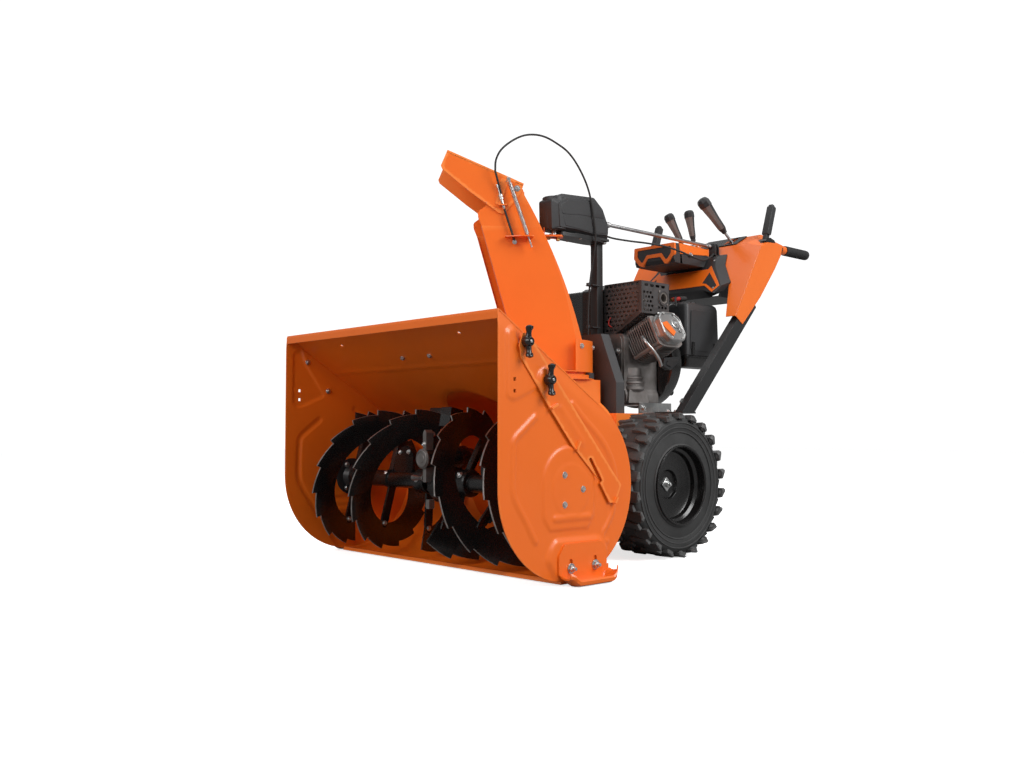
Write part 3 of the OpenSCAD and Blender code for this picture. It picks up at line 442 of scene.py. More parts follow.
def sheet(shape, outline, place, thickness, holes=(), height=None, step=None, mat=0):
    """Sheet metal: place(u, v, h) gives a point of the flat drawing lifted by h. Only a sheet with relief
    or a bend needs a step, the distance between its inner points."""
    loops = [split_loop(loop, step) if step else list(loop) for loop in (outline, *holes)]
    points, edges = [], []
    for loop in loops:
        base = len(points)
        points += loop
        edges += [(base + i, base + (i + 1) % len(loop)) for i in range(len(loop))]
    if step:
        a = np.array(outline)
        us = np.arange(a[:, 0].min(), a[:, 0].max(), step)
        vs = np.arange(a[:, 1].min(), a[:, 1].max(), step * 0.87)
        gu, gv = np.meshgrid(us, vs)
        gu = gu + (np.arange(len(vs)) % 2)[:, None] * step / 2
        gu, gv = gu.ravel(), gv.ravel()
        keep = inside(gu, gv, loops[0])
        gap = distance(gu, gv, loops[0], True)
        for loop in loops[1:]:
            keep &= ~inside(gu, gv, loop)
            gap = np.minimum(gap, distance(gu, gv, loop, True))
        keep &= gap > step * 0.5
        points += list(zip(gu[keep].tolist(), gv[keep].tolist()))
    made = geometry.delaunay_2d_cdt([Vector(p) for p in points], edges, [], 0, 1e-4, False)
    flat, tris = [tuple(p) for p in made[0]], made[2]
    mid = np.array([[sum(flat[i][k] for i in t) / 3 for k in (0, 1)] for t in tris])
    keep = inside(mid[:, 0], mid[:, 1], loops[0])
    for loop in loops[1:]:
        keep &= ~inside(mid[:, 0], mid[:, 1], loop)
    tris = [list(t) for t, k in zip(tris, keep) if k]
    u, v = np.array([p[0] for p in flat]), np.array([p[1] for p in flat])
    lift = height(u, v) if height else np.zeros(len(flat))
    n = len(flat)
    verts = [place(p[0], p[1], lift[i]) for i, p in enumerate(flat)]
    verts += [place(p[0], p[1], lift[i] - thickness) for i, p in enumerate(flat)]
    count = {}
    for t in tris:
        for i in range(3):
            a, b = t[i], t[(i + 1) % 3]
            count[(a, b)] = count.get((a, b), 0) + 1
    rim = [(a, b) for (a, b) in count if (b, a) not in count]
    faces = tris + [[n + i for i in reversed(t)] for t in tris] + [[b, a, n + a, n + b] for a, b in rim]
    return shape.add(verts, faces, mat)


def facing(axis, at, way=1):
    """Place for a flat sheet square to an axis, its relief rising along the axis, or against it."""
    def place(u, v, h):
        w = at + way * h
        return Vector((w, u, v) if axis == "x" else (u, w, v) if axis == "y" else (u, v, w))
    return place


def disc(centre, r, sides=20):
    """A round outline."""
    return arc(centre, r, 0, 360 - 360 / sides, sides - 1)


def finish_cad(node, look, bevel=0.0):
    """Gives a CAD node its look, and soft shading over its curved faces."""
    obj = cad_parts[node]
    obj.data.materials.clear()
    obj.data.materials.append(look)
    obj.data.shade_smooth()
    limit = math.radians(32)
    obj.data.set_sharp_from_angle(angle=limit)
    round_edges(obj, bevel, limit)


# ---- Housing --------------------------------------------------------------

PLATE_IN, PLATE_OUT, SHEET = 454, 457, 3
ROUND = (222, 229)
ROUND_R = 222
TOP_Z = 630
reach = math.dist((0, TOP_Z), ROUND)
TANGENT = math.degrees(math.atan2(TOP_Z - ROUND[1], -ROUND[0]) - math.acos(ROUND_R / reach))
TANGENT_POINT = arc(ROUND, ROUND_R, TANGENT, TANGENT, 1)[0]
KNOBS = ((70, 557), (140, 474))
AUGER = (225, 220)
IMPELLER_Z = 284
DRUM_R = 183
BEARING_BOLTS = ((204, 255), (266, 220), (204, 186))
SHOE_BOLTS = ((217, 39), (300, 41))

plate_outline = rounded([(0, 229), (0, TOP_Z), TANGENT_POINT], [0, 7, 0])
plate_outline += arc(ROUND, ROUND_R, TANGENT, -180, 90)[1:-1]
arch = arc((221, 236), 85, 0, 180, 20) + [(136, 158), (157, 128), (285, 128), (306, 158)]
corner_pad = rounded([(24, 582), (24, 434), (44, 424), (128, 459), (60, 556), (48, 592)], 9)
rear_rib = smooth_path([(235, 421), (273, 387), (318, 351), (351, 318), (375, 279), (385, 243)], 8)
low_rib = smooth_path([(377, 182), (374, 160), (357, 134), (339, 112), (340, 97), (353, 91)], 8)
front_rib = smooth_path([(112, 389), (80, 364), (49, 338), (45, 310), (44, 226), (58, 192), (86, 150),
                         (112, 108)], 8)
shoe_swell = rounded([(147, 60), (157, 86), (174, 106), (322, 104), (350, 80), (342, 40), (330, 8),
                      (180, 8)], 8)


def plate_relief(y, z):
    """Pressed ribs and fields of a side plate, and the dip along its sloping edge."""
    d = Vector(TANGENT_POINT) - Vector((0, TOP_Z))
    n = Vector((-d.y, d.x)).normalized()
    from_edge = -(y * n.x + (z - TOP_Z) * n.y)
    slope = -4.0 * (1 - step_up(from_edge / 36)) * step_up((z - 330) / 110)
    h = slope + bead(y, z, rear_rib, 9, 3) + bead(y, z, low_rib, 8, 3) + bead(y, z, front_rib, 9, 3.2)
    h += pad(y, z, arch, 9, 3.2) + pad(y, z, disc((226, 220), 62, 40), 6, 1.0)
    h += bead(y, z, [(172, 155), (288, 155)], 9, 3) + pad(y, z, corner_pad, 9, 3.2)
    return h + pad(y, z, shoe_swell, 17, 6)


plate_holes = [rect(42, c - 4, 50, c + 4) for c in (447, 473)]
plates = Shape()
sheet(plates, plate_outline, facing("x", PLATE_OUT), SHEET, plate_holes,
      plate_relief, 4.5)
plates.piece("side_plate_near", "machine", [ORANGE], "side_plate_left", angle=40)
plates.mirrored().piece("side_plate_far", "machine", [ORANGE], "side_plate_right", angle=40)

# The wrap is drawn flat, across and along its outer line, then folded over that line
wrap_line = [(0, 608), (0, 624), (1.8, 629.3), (6, 627)]
crease = (160, TOP_Z - 160 * math.tan(math.atan2(TOP_Z - TANGENT_POINT[1], TANGENT_POINT[0])))
wrap_line += [crease, TANGENT_POINT] + arc(ROUND, ROUND_R, TANGENT, -96, 64)[1:]
wrap_at = np.concatenate([[0], np.cumsum([math.dist(a, b) for a, b in zip(wrap_line, wrap_line[1:])])])
wrap_y, wrap_z = np.array([p[0] for p in wrap_line]), np.array([p[1] for p in wrap_line])


def on_wrap(x, s, h):
    """Point at s along the wrap's line, lifted h off it."""
    i = min(max(int(np.searchsorted(wrap_at, s)), 1), len(wrap_line) - 1)
    along = Vector((wrap_y[i] - wrap_y[i - 1], wrap_z[i] - wrap_z[i - 1])).normalized()
    y, z = float(np.interp(s, wrap_at, wrap_y)), float(np.interp(s, wrap_at, wrap_z))
    return Vector((x, y - along.y * h, z + along.x * h))


def along_wrap(y):
    """Where the wrap's sloping panel is at y, measured along its line."""
    return float(np.interp(y, wrap_y[:6], wrap_at[:6]))


throat = []
for s in np.linspace(wrap_at[5] - 90, wrap_at[-1] - 40, 400):
    y, z = float(np.interp(s, wrap_at, wrap_y)), float(np.interp(s, wrap_at, wrap_z))
    if abs(z - IMPELLER_Z) < DRUM_R and y > 200:
        throat.append((math.sqrt(DRUM_R ** 2 - (z - IMPELLER_Z) ** 2), s))
throat = [throat[0], *throat[3:-3:7], throat[-1]]
throat_loop = mirror(throat)


def wrap_relief(x, s):
    """A groove at the fold between the panel's two halves, and a raised rim around the throat."""
    fold = wrap_at[4]
    h = -2.0 * step_up(1 - np.abs(s - fold) / 9)
    rim = distance(x, s, throat_loop, True)
    return h + 2.5 * step_up(1 - rim / 12)


wrap = Shape()
holes = [disc((x, along_wrap(58)), 4.8, 14) for x in (-253, 253)] + [throat_loop]
sheet(wrap, rect(-PLATE_IN, 0, PLATE_IN, wrap_at[-1]), on_wrap, SHEET, holes,
      wrap_relief, 9)
wrap.piece("housing_wrap", "machine", [ORANGE], "housing_shell", angle=38)

hem = Shape()
hem.prism(rounded([(-0.5, 606), (-0.5, 622), (2, 629), (5.5, 628), (5.5, 621), (4, 616), (4, 606)], 1.2), "x",
          -PLATE_IN + 0.4, PLATE_IN - 0.4)
for x in (-58, 58):
    at = on_wrap(x, along_wrap(122), -SHEET)
    hem.bolt(at, at - on_wrap(x, along_wrap(122), 0), 5, 4, 1)
for x in (-330, 330, -150, 150):
    hem.lathe([(0, 4), (1.5, 3.6), (2.2, 2), (2.2, 0)], on_wrap(x, along_wrap(200), 0),
              on_wrap(x, along_wrap(200), 1), 16, 1)
hem.piece("wrap_hem", "machine", [ORANGE, ZINC], bevel=0.5)

scraper = Shape()
blade = rounded([(196, 2), (286, 2), (288, 7), (262, 11), (222, 8.4), (200, 10)], 1)
scraper.prism(blade, "x", -PLATE_IN, PLATE_IN)
for x in range(-400, 401, 160):
    scraper.bolt((x, 240, 2.4), (0, 0, -1), 6, 1, 1, washer=False)
scraper.piece("scraper", "machine", [ORANGE, ZINC], "scraper_blade", bevel=0.6)


# Skid shoes: a bolted web that curls out into a dished sole
shoe = Shape()
WEB_X = 462.6
web = rounded([(178, 24), (178, 70), (198, 96), (322, 96), (341, 74), (341, 24)], 6)
slots = [rounded(rect(y - 5.5, z - 22, y + 5.5, z + 22), 5.4)
         for y, z in SHOE_BOLTS]
sheet(shoe, web, facing("x", WEB_X + 5), 5, slots)
section = [(WEB_X + 5, 30), (WEB_X + 5.6, 17), (WEB_X + 9, 8.5), (WEB_X + 17, 5.2), (WEB_X + 30, 5.2),
           (WEB_X + 40, 6.4), (WEB_X + 44.5, 10), (WEB_X + 46, 18)]
rows = []
for k in range(29):
    t = k / 28
    y = 182 + 165 * t
    lift = 16 * step_up(1 - t / 0.16) + 22 * step_up(1 - (1 - t) / 0.17)
    pull = 9 * step_up(1 - t / 0.1) + 12 * step_up(1 - (1 - t) / 0.11)
    rows.append([Vector((x - pull * max(0, (x - WEB_X - 12) / 34), y, z + lift * (1 if j > 1 else 0.5)))
                 for j, (x, z) in enumerate(section)])
under = [[p + Vector((-2.0 if j < 3 else (2.6 if j > 5 else 0), 0, -4.6 if j > 1 else -1))
          for j, p in enumerate(row)] for row in rows]
under = [[Vector((max(p.x, PLATE_OUT + 4), p.y, max(p.z, 0.2))) for p in row] for row in under]
shoe.rings([row + under[i][::-1] for i, row in enumerate(rows)])
shoe.both().piece("skid_shoe_pair", "machine", [ORANGE], "skid_shoes", bevel=0.8, angle=40)

bolts = Shape()
for y, z in BEARING_BOLTS:
    bolts.bolt((PLATE_OUT + 3, y, z), (1, 0, 0), 5.2, 4)
    bolts.lathe([(0, 4), (9, 4), (9, 0)], (PLATE_IN, y, z), "-x", 16)
    bolts.nut((PLATE_IN - 6, y, z), (-1, 0, 0), 5.5, 2.5, 3, 1.5)
for y, z in SHOE_BOLTS:
    bolts.nut((WEB_X + 5, y, z), (1, 0, 0), 7.6, 8, 4.6, 9)
    bolts.lathe([(0, 9), (2, 9), (4, 5), (4, 0)], (PLATE_IN, y, z), "-x", 20)
for y, z in KNOBS:
    bolts.lathe([(0, 4), (31, 4), (31, 0)], (PLATE_IN - 7, y, z), "+x", 16)
    bolts.lathe([(0, 8.5), (2.5, 8), (4.5, 4), (4.5, 0)], (PLATE_IN, y, z), "-x", 20)
bolts.both().piece("housing_bolts", "machine", [ZINC], "housing_fasteners", bevel=0.3)

# Drift cutters: formed bars with raised seats under the knobs, stop tabs and a slot
cutter_outline = [(64, 520), (90, 488), (119, 453), (146, 418), (228, 323), (318, 240), (357, 183),
                  (379, 184), (400, 226), (366, 262), (108, 553), (92, 575), (64, 577), (52, 548)]
cutter_slot = rounded([(283, 291), (292, 295), (332, 238), (322, 231)], 4)


def cutter_relief(y, z):
    """Raised seats under the knobs, and a rib."""
    seat = sum(pad(y, z, disc(k, 27, 24), 9, 4.5) for k in KNOBS)
    return seat + bead(y, z, [(190, 410), (262, 330)], 10, 1.5)


cutter = Shape()
CUTTER_X = PLATE_OUT + 7
sheet(cutter, rounded(cutter_outline, 3), facing("x", CUTTER_X), 3, [cutter_slot],
      cutter_relief, 5)
for a, b in (((155, 409), (175, 419)), ((238, 313), (249, 333)), ((372, 182), (381, 196))):
    side = (Vector(b) - Vector(a)).orthogonal().normalized() * 2.5
    quad = [tuple(Vector(p) + side * way) for p, way in ((a, 1), (b, 1), (b, -1), (a, -1))]
    cutter.prism(quad, "x", PLATE_OUT + 0.5, CUTTER_X + 7)
cutter.both().piece("drift_bars", "machine", [ORANGE], "drift_cutters", bevel=0.6, angle=36)

# T-knobs
for side, first in (("left", 1), ("right", 3)):
    for number, (place, (y, z)) in enumerate(zip(("upper", "lower"), KNOBS), first):
        knob = Shape()
        base = PLATE_OUT + 12.2
        knob.lathe([(0, 12), (3, 13.5), (12, 12.5), (18, 10.5), (20, 9), (20, 6.2), (14, 6), (14, 0)],
                   (base, y, z), "+x", 32)
        knob.lathe([(0, 4), (20.5, 4), (21.5, 3), (21.5, 0)], (base, y, z), "+x", 16, 1)
        rings = []
        for k in range(-12, 13):
            t = k / 12
            out = base + 9 + 5.5 * abs(t) ** 1.5
            deep = 7.2 - 1.6 * abs(t) + 2.6 * step_up((abs(t) - 0.62) / 0.25)
            wide = 9.5 - 3.2 * step_up(abs(t) / 0.55) + 3.2 * step_up((abs(t) - 0.62) / 0.2)
            end = 1 if abs(t) < 0.9 else math.sqrt(max(0.02, 1 - ((abs(t) - 0.9) / 0.105) ** 2))
            rings.append([(out + deep * end * math.cos(a), y + wide * end * math.sin(a), z + 37 * t)
                          for a in (2 * math.pi * i / 20 for i in range(20))])
        knob.rings(rings)
        for t in (-1, 1):
            knob.lathe([(0, 3.2), (1, 3.2), (1, 2.2), (0.2, 2.2), (0.2, 0)],
                       (base + 21, y, z + 29 * t), "+x", 16)
        shown = knob if side == "left" else knob.mirrored()
        shown.piece(f"knob_{place}_{side}", f"knob_{number}", [GLOSS_BLACK, ZINC], f"{place}_knob_{side}",
                    bevel=0.4, angle=38)

# Bearing flanges inside the plates and behind the drum
bearings = Shape()
y, z = AUGER
profile = [(0, 54), (3, 54), (4.5, 50), (5, 34), (12, 30), (22, 26), (24, 24), (24, 15.1)]
bearings.lathe([*profile, (0, 15.1)], (PLATE_IN, y, z), "-x", 48, closed=True)
bearings.both()
bearings.lathe([(0, 30), (3, 32), (8, 30), (16, 22), (16, 12.6), (0, 12.6)], (0, 725, IMPELLER_Z), "+y",
               40, closed=True)
bearings.piece("bearing_housings", "machine", [BLACK], "shaft_bearings", bevel=0.5)


# ---- Augers, their gear case and the impeller ------------------------------

FLIGHT_IN, FLIGHT_OUT, TOOTH = 125, 199.5, 22.5
SLEEVE_IN, SLEEVE_END, PITCH_TURN = 64, 429, 360


def around(x, r, turn, y=AUGER[0], z=AUGER[1]):
    """Point at an angle round the auger shaft."""
    a = math.radians(turn)
    return Vector((x, y + r * math.cos(a), z + r * math.sin(a)))


def auger(phase, paddle):
    """The left auger from a starting angle; paddle is the angle of its inner blades, or 0 for none."""
    shape = Shape()
    # Two ribbons with saw-toothed rims
    for start in (phase, phase + 180):
        rings = []
        turn = 0.0
        while turn <= 372:
            part = (turn % TOOTH) / TOOTH
            rim = FLIGHT_OUT - 13 + 13 * part ** 1.15
            x = SLEEVE_IN + turn
            rings.append([around(x - 2.5, FLIGHT_IN, start + turn), around(x - 2.5, rim - 0.8, start + turn),
                          around(x - 2.2, rim, start + turn), around(x + 2.2, rim, start + turn),
                          around(x + 2.5, rim - 0.8, start + turn), around(x + 2.5, FLIGHT_IN, start + turn)])
            turn += 0.7 if part > 0.96 else 3.6
        n = len(rings) - 1
        mats = [1 if k in (1, 2, 3) else 0 for _ in range(n) for k in range(6)] + [0, 0]
        shape.rings(rings, mats)
    # Spokes: folded bars bolted to the sleeve
    for x in (72, 240, 420):
        for side in (0, 180):
            turn = phase + 360 * (x - SLEEVE_IN) / PITCH_TURN + side
            a = math.radians(turn)
            move = Matrix.Translation((x, *AUGER)) @ Matrix.Rotation(a, 4, "X")
            bar = rounded([(20, -12), (118, -12), (140, -8), (140, 8), (118, 12), (20, 12)], 3)
            shape.prism(bar, "x", -4, 3, move=move)
            shape.prism([(24, 9), (112, 9), (104, 12), (24, 12)], "x", 3, 15, move=move)
            shape.bolt((-4, 128, 0), (-1, 0, 0), 5, 3.6, 2, move=move)
    # Sleeve with its collars and shear bolts
    shape.lathe([(0, 15.4), (0, 34), (2, 36), (40, 36), (44, 33), (46, 23.5), (176, 23.5), (178, 28),
                 (190, 28), (192, 23.5), (340, 23.5), (342, 30), (363, 30), (365, 28), (365, 15.4)],
                (SLEEVE_IN, *AUGER), (SLEEVE_END, *AUGER), 40, closed=True)
    for x, turn in ((88, phase + 90), (250, phase + 60)):
        out = around(0, 1, turn) - around(0, 0, turn)
        reach_out = 36 if x < 110 else 23.5
        shape.bolt(around(x, reach_out - 1, turn), out, 6, 5, 2)
        shape.nut(around(x, reach_out - 1, turn + 180), -out, 5.5, 5, 3.6, 5, 2)
        shape.rod(around(x, 15.5, turn), around(x, reach_out, turn), 4, 12, 2)
    # Clamp plate over the sleeve
    clamp = [(146, 20), (232, 20), (226, 62), (196, 92), (164, 96), (142, 70)]
    shape.prism(rounded([(x, AUGER[1] + h) for x, h in clamp], 8), "y", AUGER[0] - 5, AUGER[0] + 5)
    for x, h in ((162, 78), (202, 76)):
        shape.bolt((x, AUGER[0] - 5, AUGER[1] + h), (0, -1, 0), 4.5, 4, 2)
    if paddle:
        a = math.radians(paddle)
        move = Matrix.Translation((0, *AUGER)) @ Matrix.Rotation(a, 4, "X")
        shape.prism(rounded([(150, -34), (205, -30), (204, 5), (150, 5)], 2), "x", 64, 116, move=move)
        shape.prism(rect(152, -38, 205, 5), "x", 22, 64, move=move)
    return shape


for side, made in (("left", auger(51, 0)), ("right", auger(79, 79).mirrored())):
    made.piece("auger_flights_" + side, "auger", [GLOSS_BLACK, EDGE_STEEL, ZINC], "auger_" + side,
               bevel=0.6, angle=36)

case = Shape()
case.lathe([(0, 24), (8, 34), (12, 50), (20, 57), (44, 57), (52, 50), (56, 34), (64, 24), (90, 24), (92, 22),
            (94, 15.2), (-30, 15.2), (-28, 22), (-26, 24)], (-32, *AUGER), (0, *AUGER), 56, closed=True)
for _, at in spots(8, 50, AUGER, 20):
    case.lathe([(0, 7), (30, 7), (32, 5.5), (32, 0)], (-16, *at), "+x", 16)
    case.bolt((16, *at), (1, 0, 0), 4.2, 3.6, 2, washer=False)
    case.bolt((-16, *at), (-1, 0, 0), 4.2, 3.6, 2, washer=False)
case.lathe([(0, 12.6), (0, 22), (3, 24), (30, 24), (34, 22), (60, 24), (100, 33), (140, 33), (148, 27),
            (168, 25), (169, 12.6)], (0, 143, IMPELLER_Z), "+y", 44, closed=True)
case.prism(rounded([(-7, 300), (-7, 352), (0, 361), (7, 352), (7, 300)], 3), "y", 150, 174, 1)
case.prism(rounded([(-7, 222), (-7, 262), (7, 262), (7, 222)], 2), "y", 150, 176, 1)
case.prism([(-8, 158), (-6, 176), (8, 176), (8, 152), (-4, 152)], "y", 160, 178, 1)
case.bolt((0, 150, 322), (0, -1, 0), 4.6, 4, 2)
case.lathe([(0, 26), (4, 26), (4, 23.5), (7, 23), (8, 21.5), (8, 19), (6, 18.4), (6, 11), (7.4, 10),
            (7.4, 0)], (0, 146, IMPELLER_Z), "-y", 48, 1)
case.lathe([(0, 7), (4, 7.4), (10, 5), (44, 8), (46, 8), (46, 0)], (-16, 160, 232), "-x", 24, 2)
case.ball((-62, 160, 232), 6.5, 2)
case.piece("gear_case_cast", "machine", [GLOSS_BLACK, CAST, ZINC], "gear_case", bevel=0.6, angle=38)

fan = Shape()
fan.lathe([(0, 12.7), (0, 26), (3, 28), (150, 28), (150, 12.7)], (0, 560, IMPELLER_Z), "+y", 40, closed=True)
for k in range(3):
    move = (Matrix.Translation((0, 0, IMPELLER_Z)) @ Matrix.Rotation(math.radians(120 * k), 4, "Y"))
    inner, outer = [], []
    for i in range(13):
        t = i / 12
        r = 24 + 148 * t
        lean = 16 * max(0, t - 0.45) ** 1.6 * 2.2
        inner.append((lean - 1.6, r))
        outer.append((lean + 1.6, r))
    fan.prism(inner + outer[::-1], "y", 568, 704, 0, move)
    fan.prism([(1, 60), (24, 120), (24, 132), (10, 165), (1, 165)], "y", 562, 567, 0, move)
fan.piece("impeller_fan", "impeller_assembly", [ORANGE], "impeller", bevel=0.6, angle=38)
for node in ("auger_shaft", "impeller_shaft"):
    finish_cad(node, STEEL, 0.4)


# ---- Chute, deflector and their drive --------------------------------------

CHUTE = Matrix.Translation((0, 635, 0)) @ Matrix.Rotation(math.radians(-36), 4, "Z")
HALF_W = 82
HINGE, STUD = (122, 1058), (149, 1078)


def back_edge(z):
    """Reach of the chute's curved back at height z."""
    h = z - 534
    return -91 + 0.187 * h + 0.000375 * h * h


def front_edge(z):
    """Reach of the chute's open front at height z."""
    return float(np.interp(z, [528, 700, 948, 984], [106, 155, 225, 236]))


def chute_section(z):
    """Outline across the chute at one height: an open U with bevelled back corners, and its inner side."""
    cut = 21 * (1 - step_up((z - 560) / 380))
    b, f = back_edge(z), front_edge(z)
    out = [(HALF_W, f), (HALF_W, b + cut + 1), (HALF_W - 0.8 * cut - 1, b)]
    t = 2.5
    inn = [(HALF_W - t, f), (HALF_W - t, b + cut + 2), (HALF_W - 0.8 * cut - 2, b + t)]
    ring = out + [(-x, s) for x, s in reversed(out)] + [(-x, s) for x, s in inn] + list(reversed(inn))
    return [(x, -s, z) for x, s in ring]


body = Shape(CHUTE)
body.rings([chute_section(528 + 420 * k / 24) for k in range(25)])
top_back = [(back_edge(z), z) for z in (948, 975, 1000, 1020, 1040)]
cheek = top_back + [(104, 1056), (116, 1069), (130, 1069), (150, 1052)] + rounded(
    [(160, 1046), (236, 988), (235, 972), (225, 948)], [2, 7, 4, 0])
for side in (1, -1):
    body.prism([(-s, z) for s, z in cheek], "x", side * (HALF_W - 2.5), side * HALF_W)
strip = [(-s, z) for s, z in top_back + [(100, 1050)]]
body.prism(strip + [(y - 2.6, z - 0.4) for y, z in reversed(strip)], "x", -HALF_W + 2.5, HALF_W - 2.5)
# Turned front edges
for side in (1, -1):
    edge = [(front_edge(z), z) for z in (532, 600, 700, 800, 900, 946)]
    turned = ((HALF_W, 0), (HALF_W - 9, -1.2), (HALF_W - 9, 1.2), (HALF_W - 0.5, 1.4))
    body.rings([[(side * x, -s + dy, z) for x, dy in turned] for s, z in edge])
# Collar, flanges and rear skirt
body.lathe([(0, 91), (0, 94), (10.5, 94), (10.5, 114), (20, 114), (20, 103), (28, 103), (28, 114), (31, 114),
            (31, 91)], (0, 0, 499), "+z", 96, closed=True)
skirt = arc((0, 0), 114, 24, 156, 44)
body.prism(skirt + [(x * 111 / 114, y * 111 / 114) for x, y in reversed(skirt)], "z", 528, 620)
for turn in (35, 80, 118, 150):
    a = math.radians(turn)
    at = Vector((math.cos(a), math.sin(a), 0))
    body.bolt(at * 114 + Vector((0, 0, 602)), at, 5, 4, 1)
# Spring rod's slotted tab, with its folded end
tab = rounded([(82, -76), (82, -158), (100, -158), (117, -112), (117, -78), (108, -76)], 5)
slot = rounded(rect(100.5, -104, 109.5, -84), 3)
sheet(body, tab, facing("z", 917), 3, [slot])
body.box((82, -150, 905), (84.5, -96, 917))
# Yoke at the back, pinned to the drive
body.prism(rounded([(-22, -45), (22, -45), (22, 20), (10, 27), (-10, 27), (-22, 20)], 4), "z", 934, 939)
body.box((-22, -47, 930), (22, -43, 956))
body.prism(rounded(rect(-20, 936, 20, 962), 4), "y", -34, -31)
body.lathe([(0, 9), (36, 9), (36, 0)], (0, 0, 934), "+z", 24, 1)
body.bolt((0, -18, 934), (0, 0, -1), 6, 5, 2)
body.lathe([(0, 6), (9, 6), (10, 5), (10, 0)], (0, 12, 934), "-z", 20, 2)
# Hinge pin
for side in (1, -1):
    body.lathe([(0, 4), (89, 4), (89, 0)], (0, -HINGE[0], HINGE[1]), (side, -HINGE[0], HINGE[1]), 16, 1)
body.piece("chute_body_sheet", "chute_body", [ORANGE, ZINC, BRASS], "chute", bevel=0.7, angle=30)

cap = Shape(CHUTE)
LIFT = math.radians(22.5)
along_cap, below_cap = Vector((math.cos(LIFT), math.sin(LIFT))), Vector((math.sin(LIFT), -math.cos(LIFT)))
heel = Vector((102, 1073))
nose = heel + along_cap * 240
SIDE = 84
cheek = [tuple(heel), tuple(nose), tuple(nose + below_cap * 50), tuple(nose + below_cap * 58 - along_cap * 8),
         (257, 1044), (186, 993), (176, 986), (164, 982), (156, 988), (111, 1045)]
cap_holes = [disc(HINGE, 4.2, 20)]


def cap_relief(s, z):
    """A shallow pressed field beside the cable's bracket."""
    return pad(s, z, [(128, 1092), (176, 1112), (186, 1040), (160, 1010)], 8, 1.0)


sheet(cap, cheek, lambda s, z, h: Vector((SIDE + 2.5 + h, -s, z)), 2.5, cap_holes, cap_relief, 6)
sheet(cap, cheek, lambda s, z, h: Vector((-SIDE - h, -s, z)), 2.5, cap_holes)
rings = []
for k in range(25):
    x = -SIDE - 2.5 + (2 * SIDE + 5) * k / 24
    drop = 5 * (1 - math.sqrt(max(0, 1 - (max(0, abs(x) - (SIDE - 2.5)) / 5.001) ** 2)))
    quad = []
    for point, down in ((heel, drop), (nose, drop), (nose, drop + 2.5), (heel, drop + 2.5)):
        p = point + below_cap * down
        quad.append((x, -p.x, p.y))
    rings.append(quad)
cap.rings(rings)
lip = nose + below_cap * 2 - along_cap * 7
cap.prism([(-(lip.x + 7 * along_cap.x), lip.y + 7 * along_cap.y), (-lip.x, lip.y),
           (-(lip.x + 10 * below_cap.x), lip.y + 10 * below_cap.y),
           (-(lip.x + 10 * below_cap.x + 2), lip.y + 10 * below_cap.y + 1)], "x", -SIDE, SIDE)
# Folded bracket that holds the cable
cap.prism([(-148, 1080), (-151, 1080), (-176, 1008), (-176, 1002), (-172, 1004)], "x", SIDE + 2.5, SIDE + 8)
shelf = rounded([(SIDE + 2.5, -178), (SIDE + 16, -178), (SIDE + 16, -154), (SIDE + 2.5, -150)], 2)
cap.prism(shelf, "z", 1006, 1009)
cap.prism([(-150, 1082), (-168, 1087), (-186, 1012), (-177, 1009), (-172, 1012)], "x", SIDE + 2.5, SIDE + 4.5)
cap.rod((SIDE, -STUD[0], STUD[1]), (113, -STUD[0], STUD[1]), 3, 16, 1)
cap.nut((SIDE + 2.5, -STUD[0], STUD[1]), (1, 0, 0), 5, 4, 3, 2, 1)
cap.lathe([(0, 5), (3, 5), (3, 0)], (111, -STUD[0], STUD[1]), "+x", 16, 1)
for side in (1, -1):
    cap.lathe([(0, 9), (1.5, 9), (1.5, 6), (4, 5.5), (5, 4), (5, 0)],
              (side * (SIDE + 2.5), -HINGE[0], HINGE[1]), (side * 99, -HINGE[0], HINGE[1]), 24, 1)
cap.piece("deflector_cap", "deflector_body", [ORANGE, ZINC], "deflector", bevel=0.7, angle=30)

# Spring rod: its frame hangs from the stud
ROD = CHUTE @ Matrix.Translation((105, -STUD[0], STUD[1])) @ Matrix.Rotation(math.atan2(56.2, 162), 4, "X")
rod = Shape(ROD)
rod.prism(rounded([(-7, 7), (7, 7), (7, -36), (-7, -40)], 3), "y", -1.5, 1.5)
rod.prism(rounded(rect(-9, 9, 9, -12), 4), "y", -3.5, -1.5)
rod.lathe([(0, 3), (168, 3), (168, 0)], (0, 0, -6), "-z", 16)
rod.box((-4.2, -1.8, -206), (4.2, 1.8, -150))
rod.piece("deflector_link", "spring_rod", [ZINC], "deflector_rod", bevel=0.4)
spring = Shape(ROD)
SPRING_TOP, SPRING_LOW, SPRING_R = -12, -166, 5.4
turns, n = 44, 12
path = [(SPRING_R * math.cos(2 * math.pi * k / n), SPRING_R * math.sin(2 * math.pi * k / n),
         SPRING_TOP - (SPRING_TOP - SPRING_LOW) * k / (turns * n)) for k in range(turns * n + 1)]
spring.tube(path, 1.15, 6)
coil = spring.piece("return_spring", "spring_rod", [STEEL], "deflector_spring", angle=60)
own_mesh(coil)

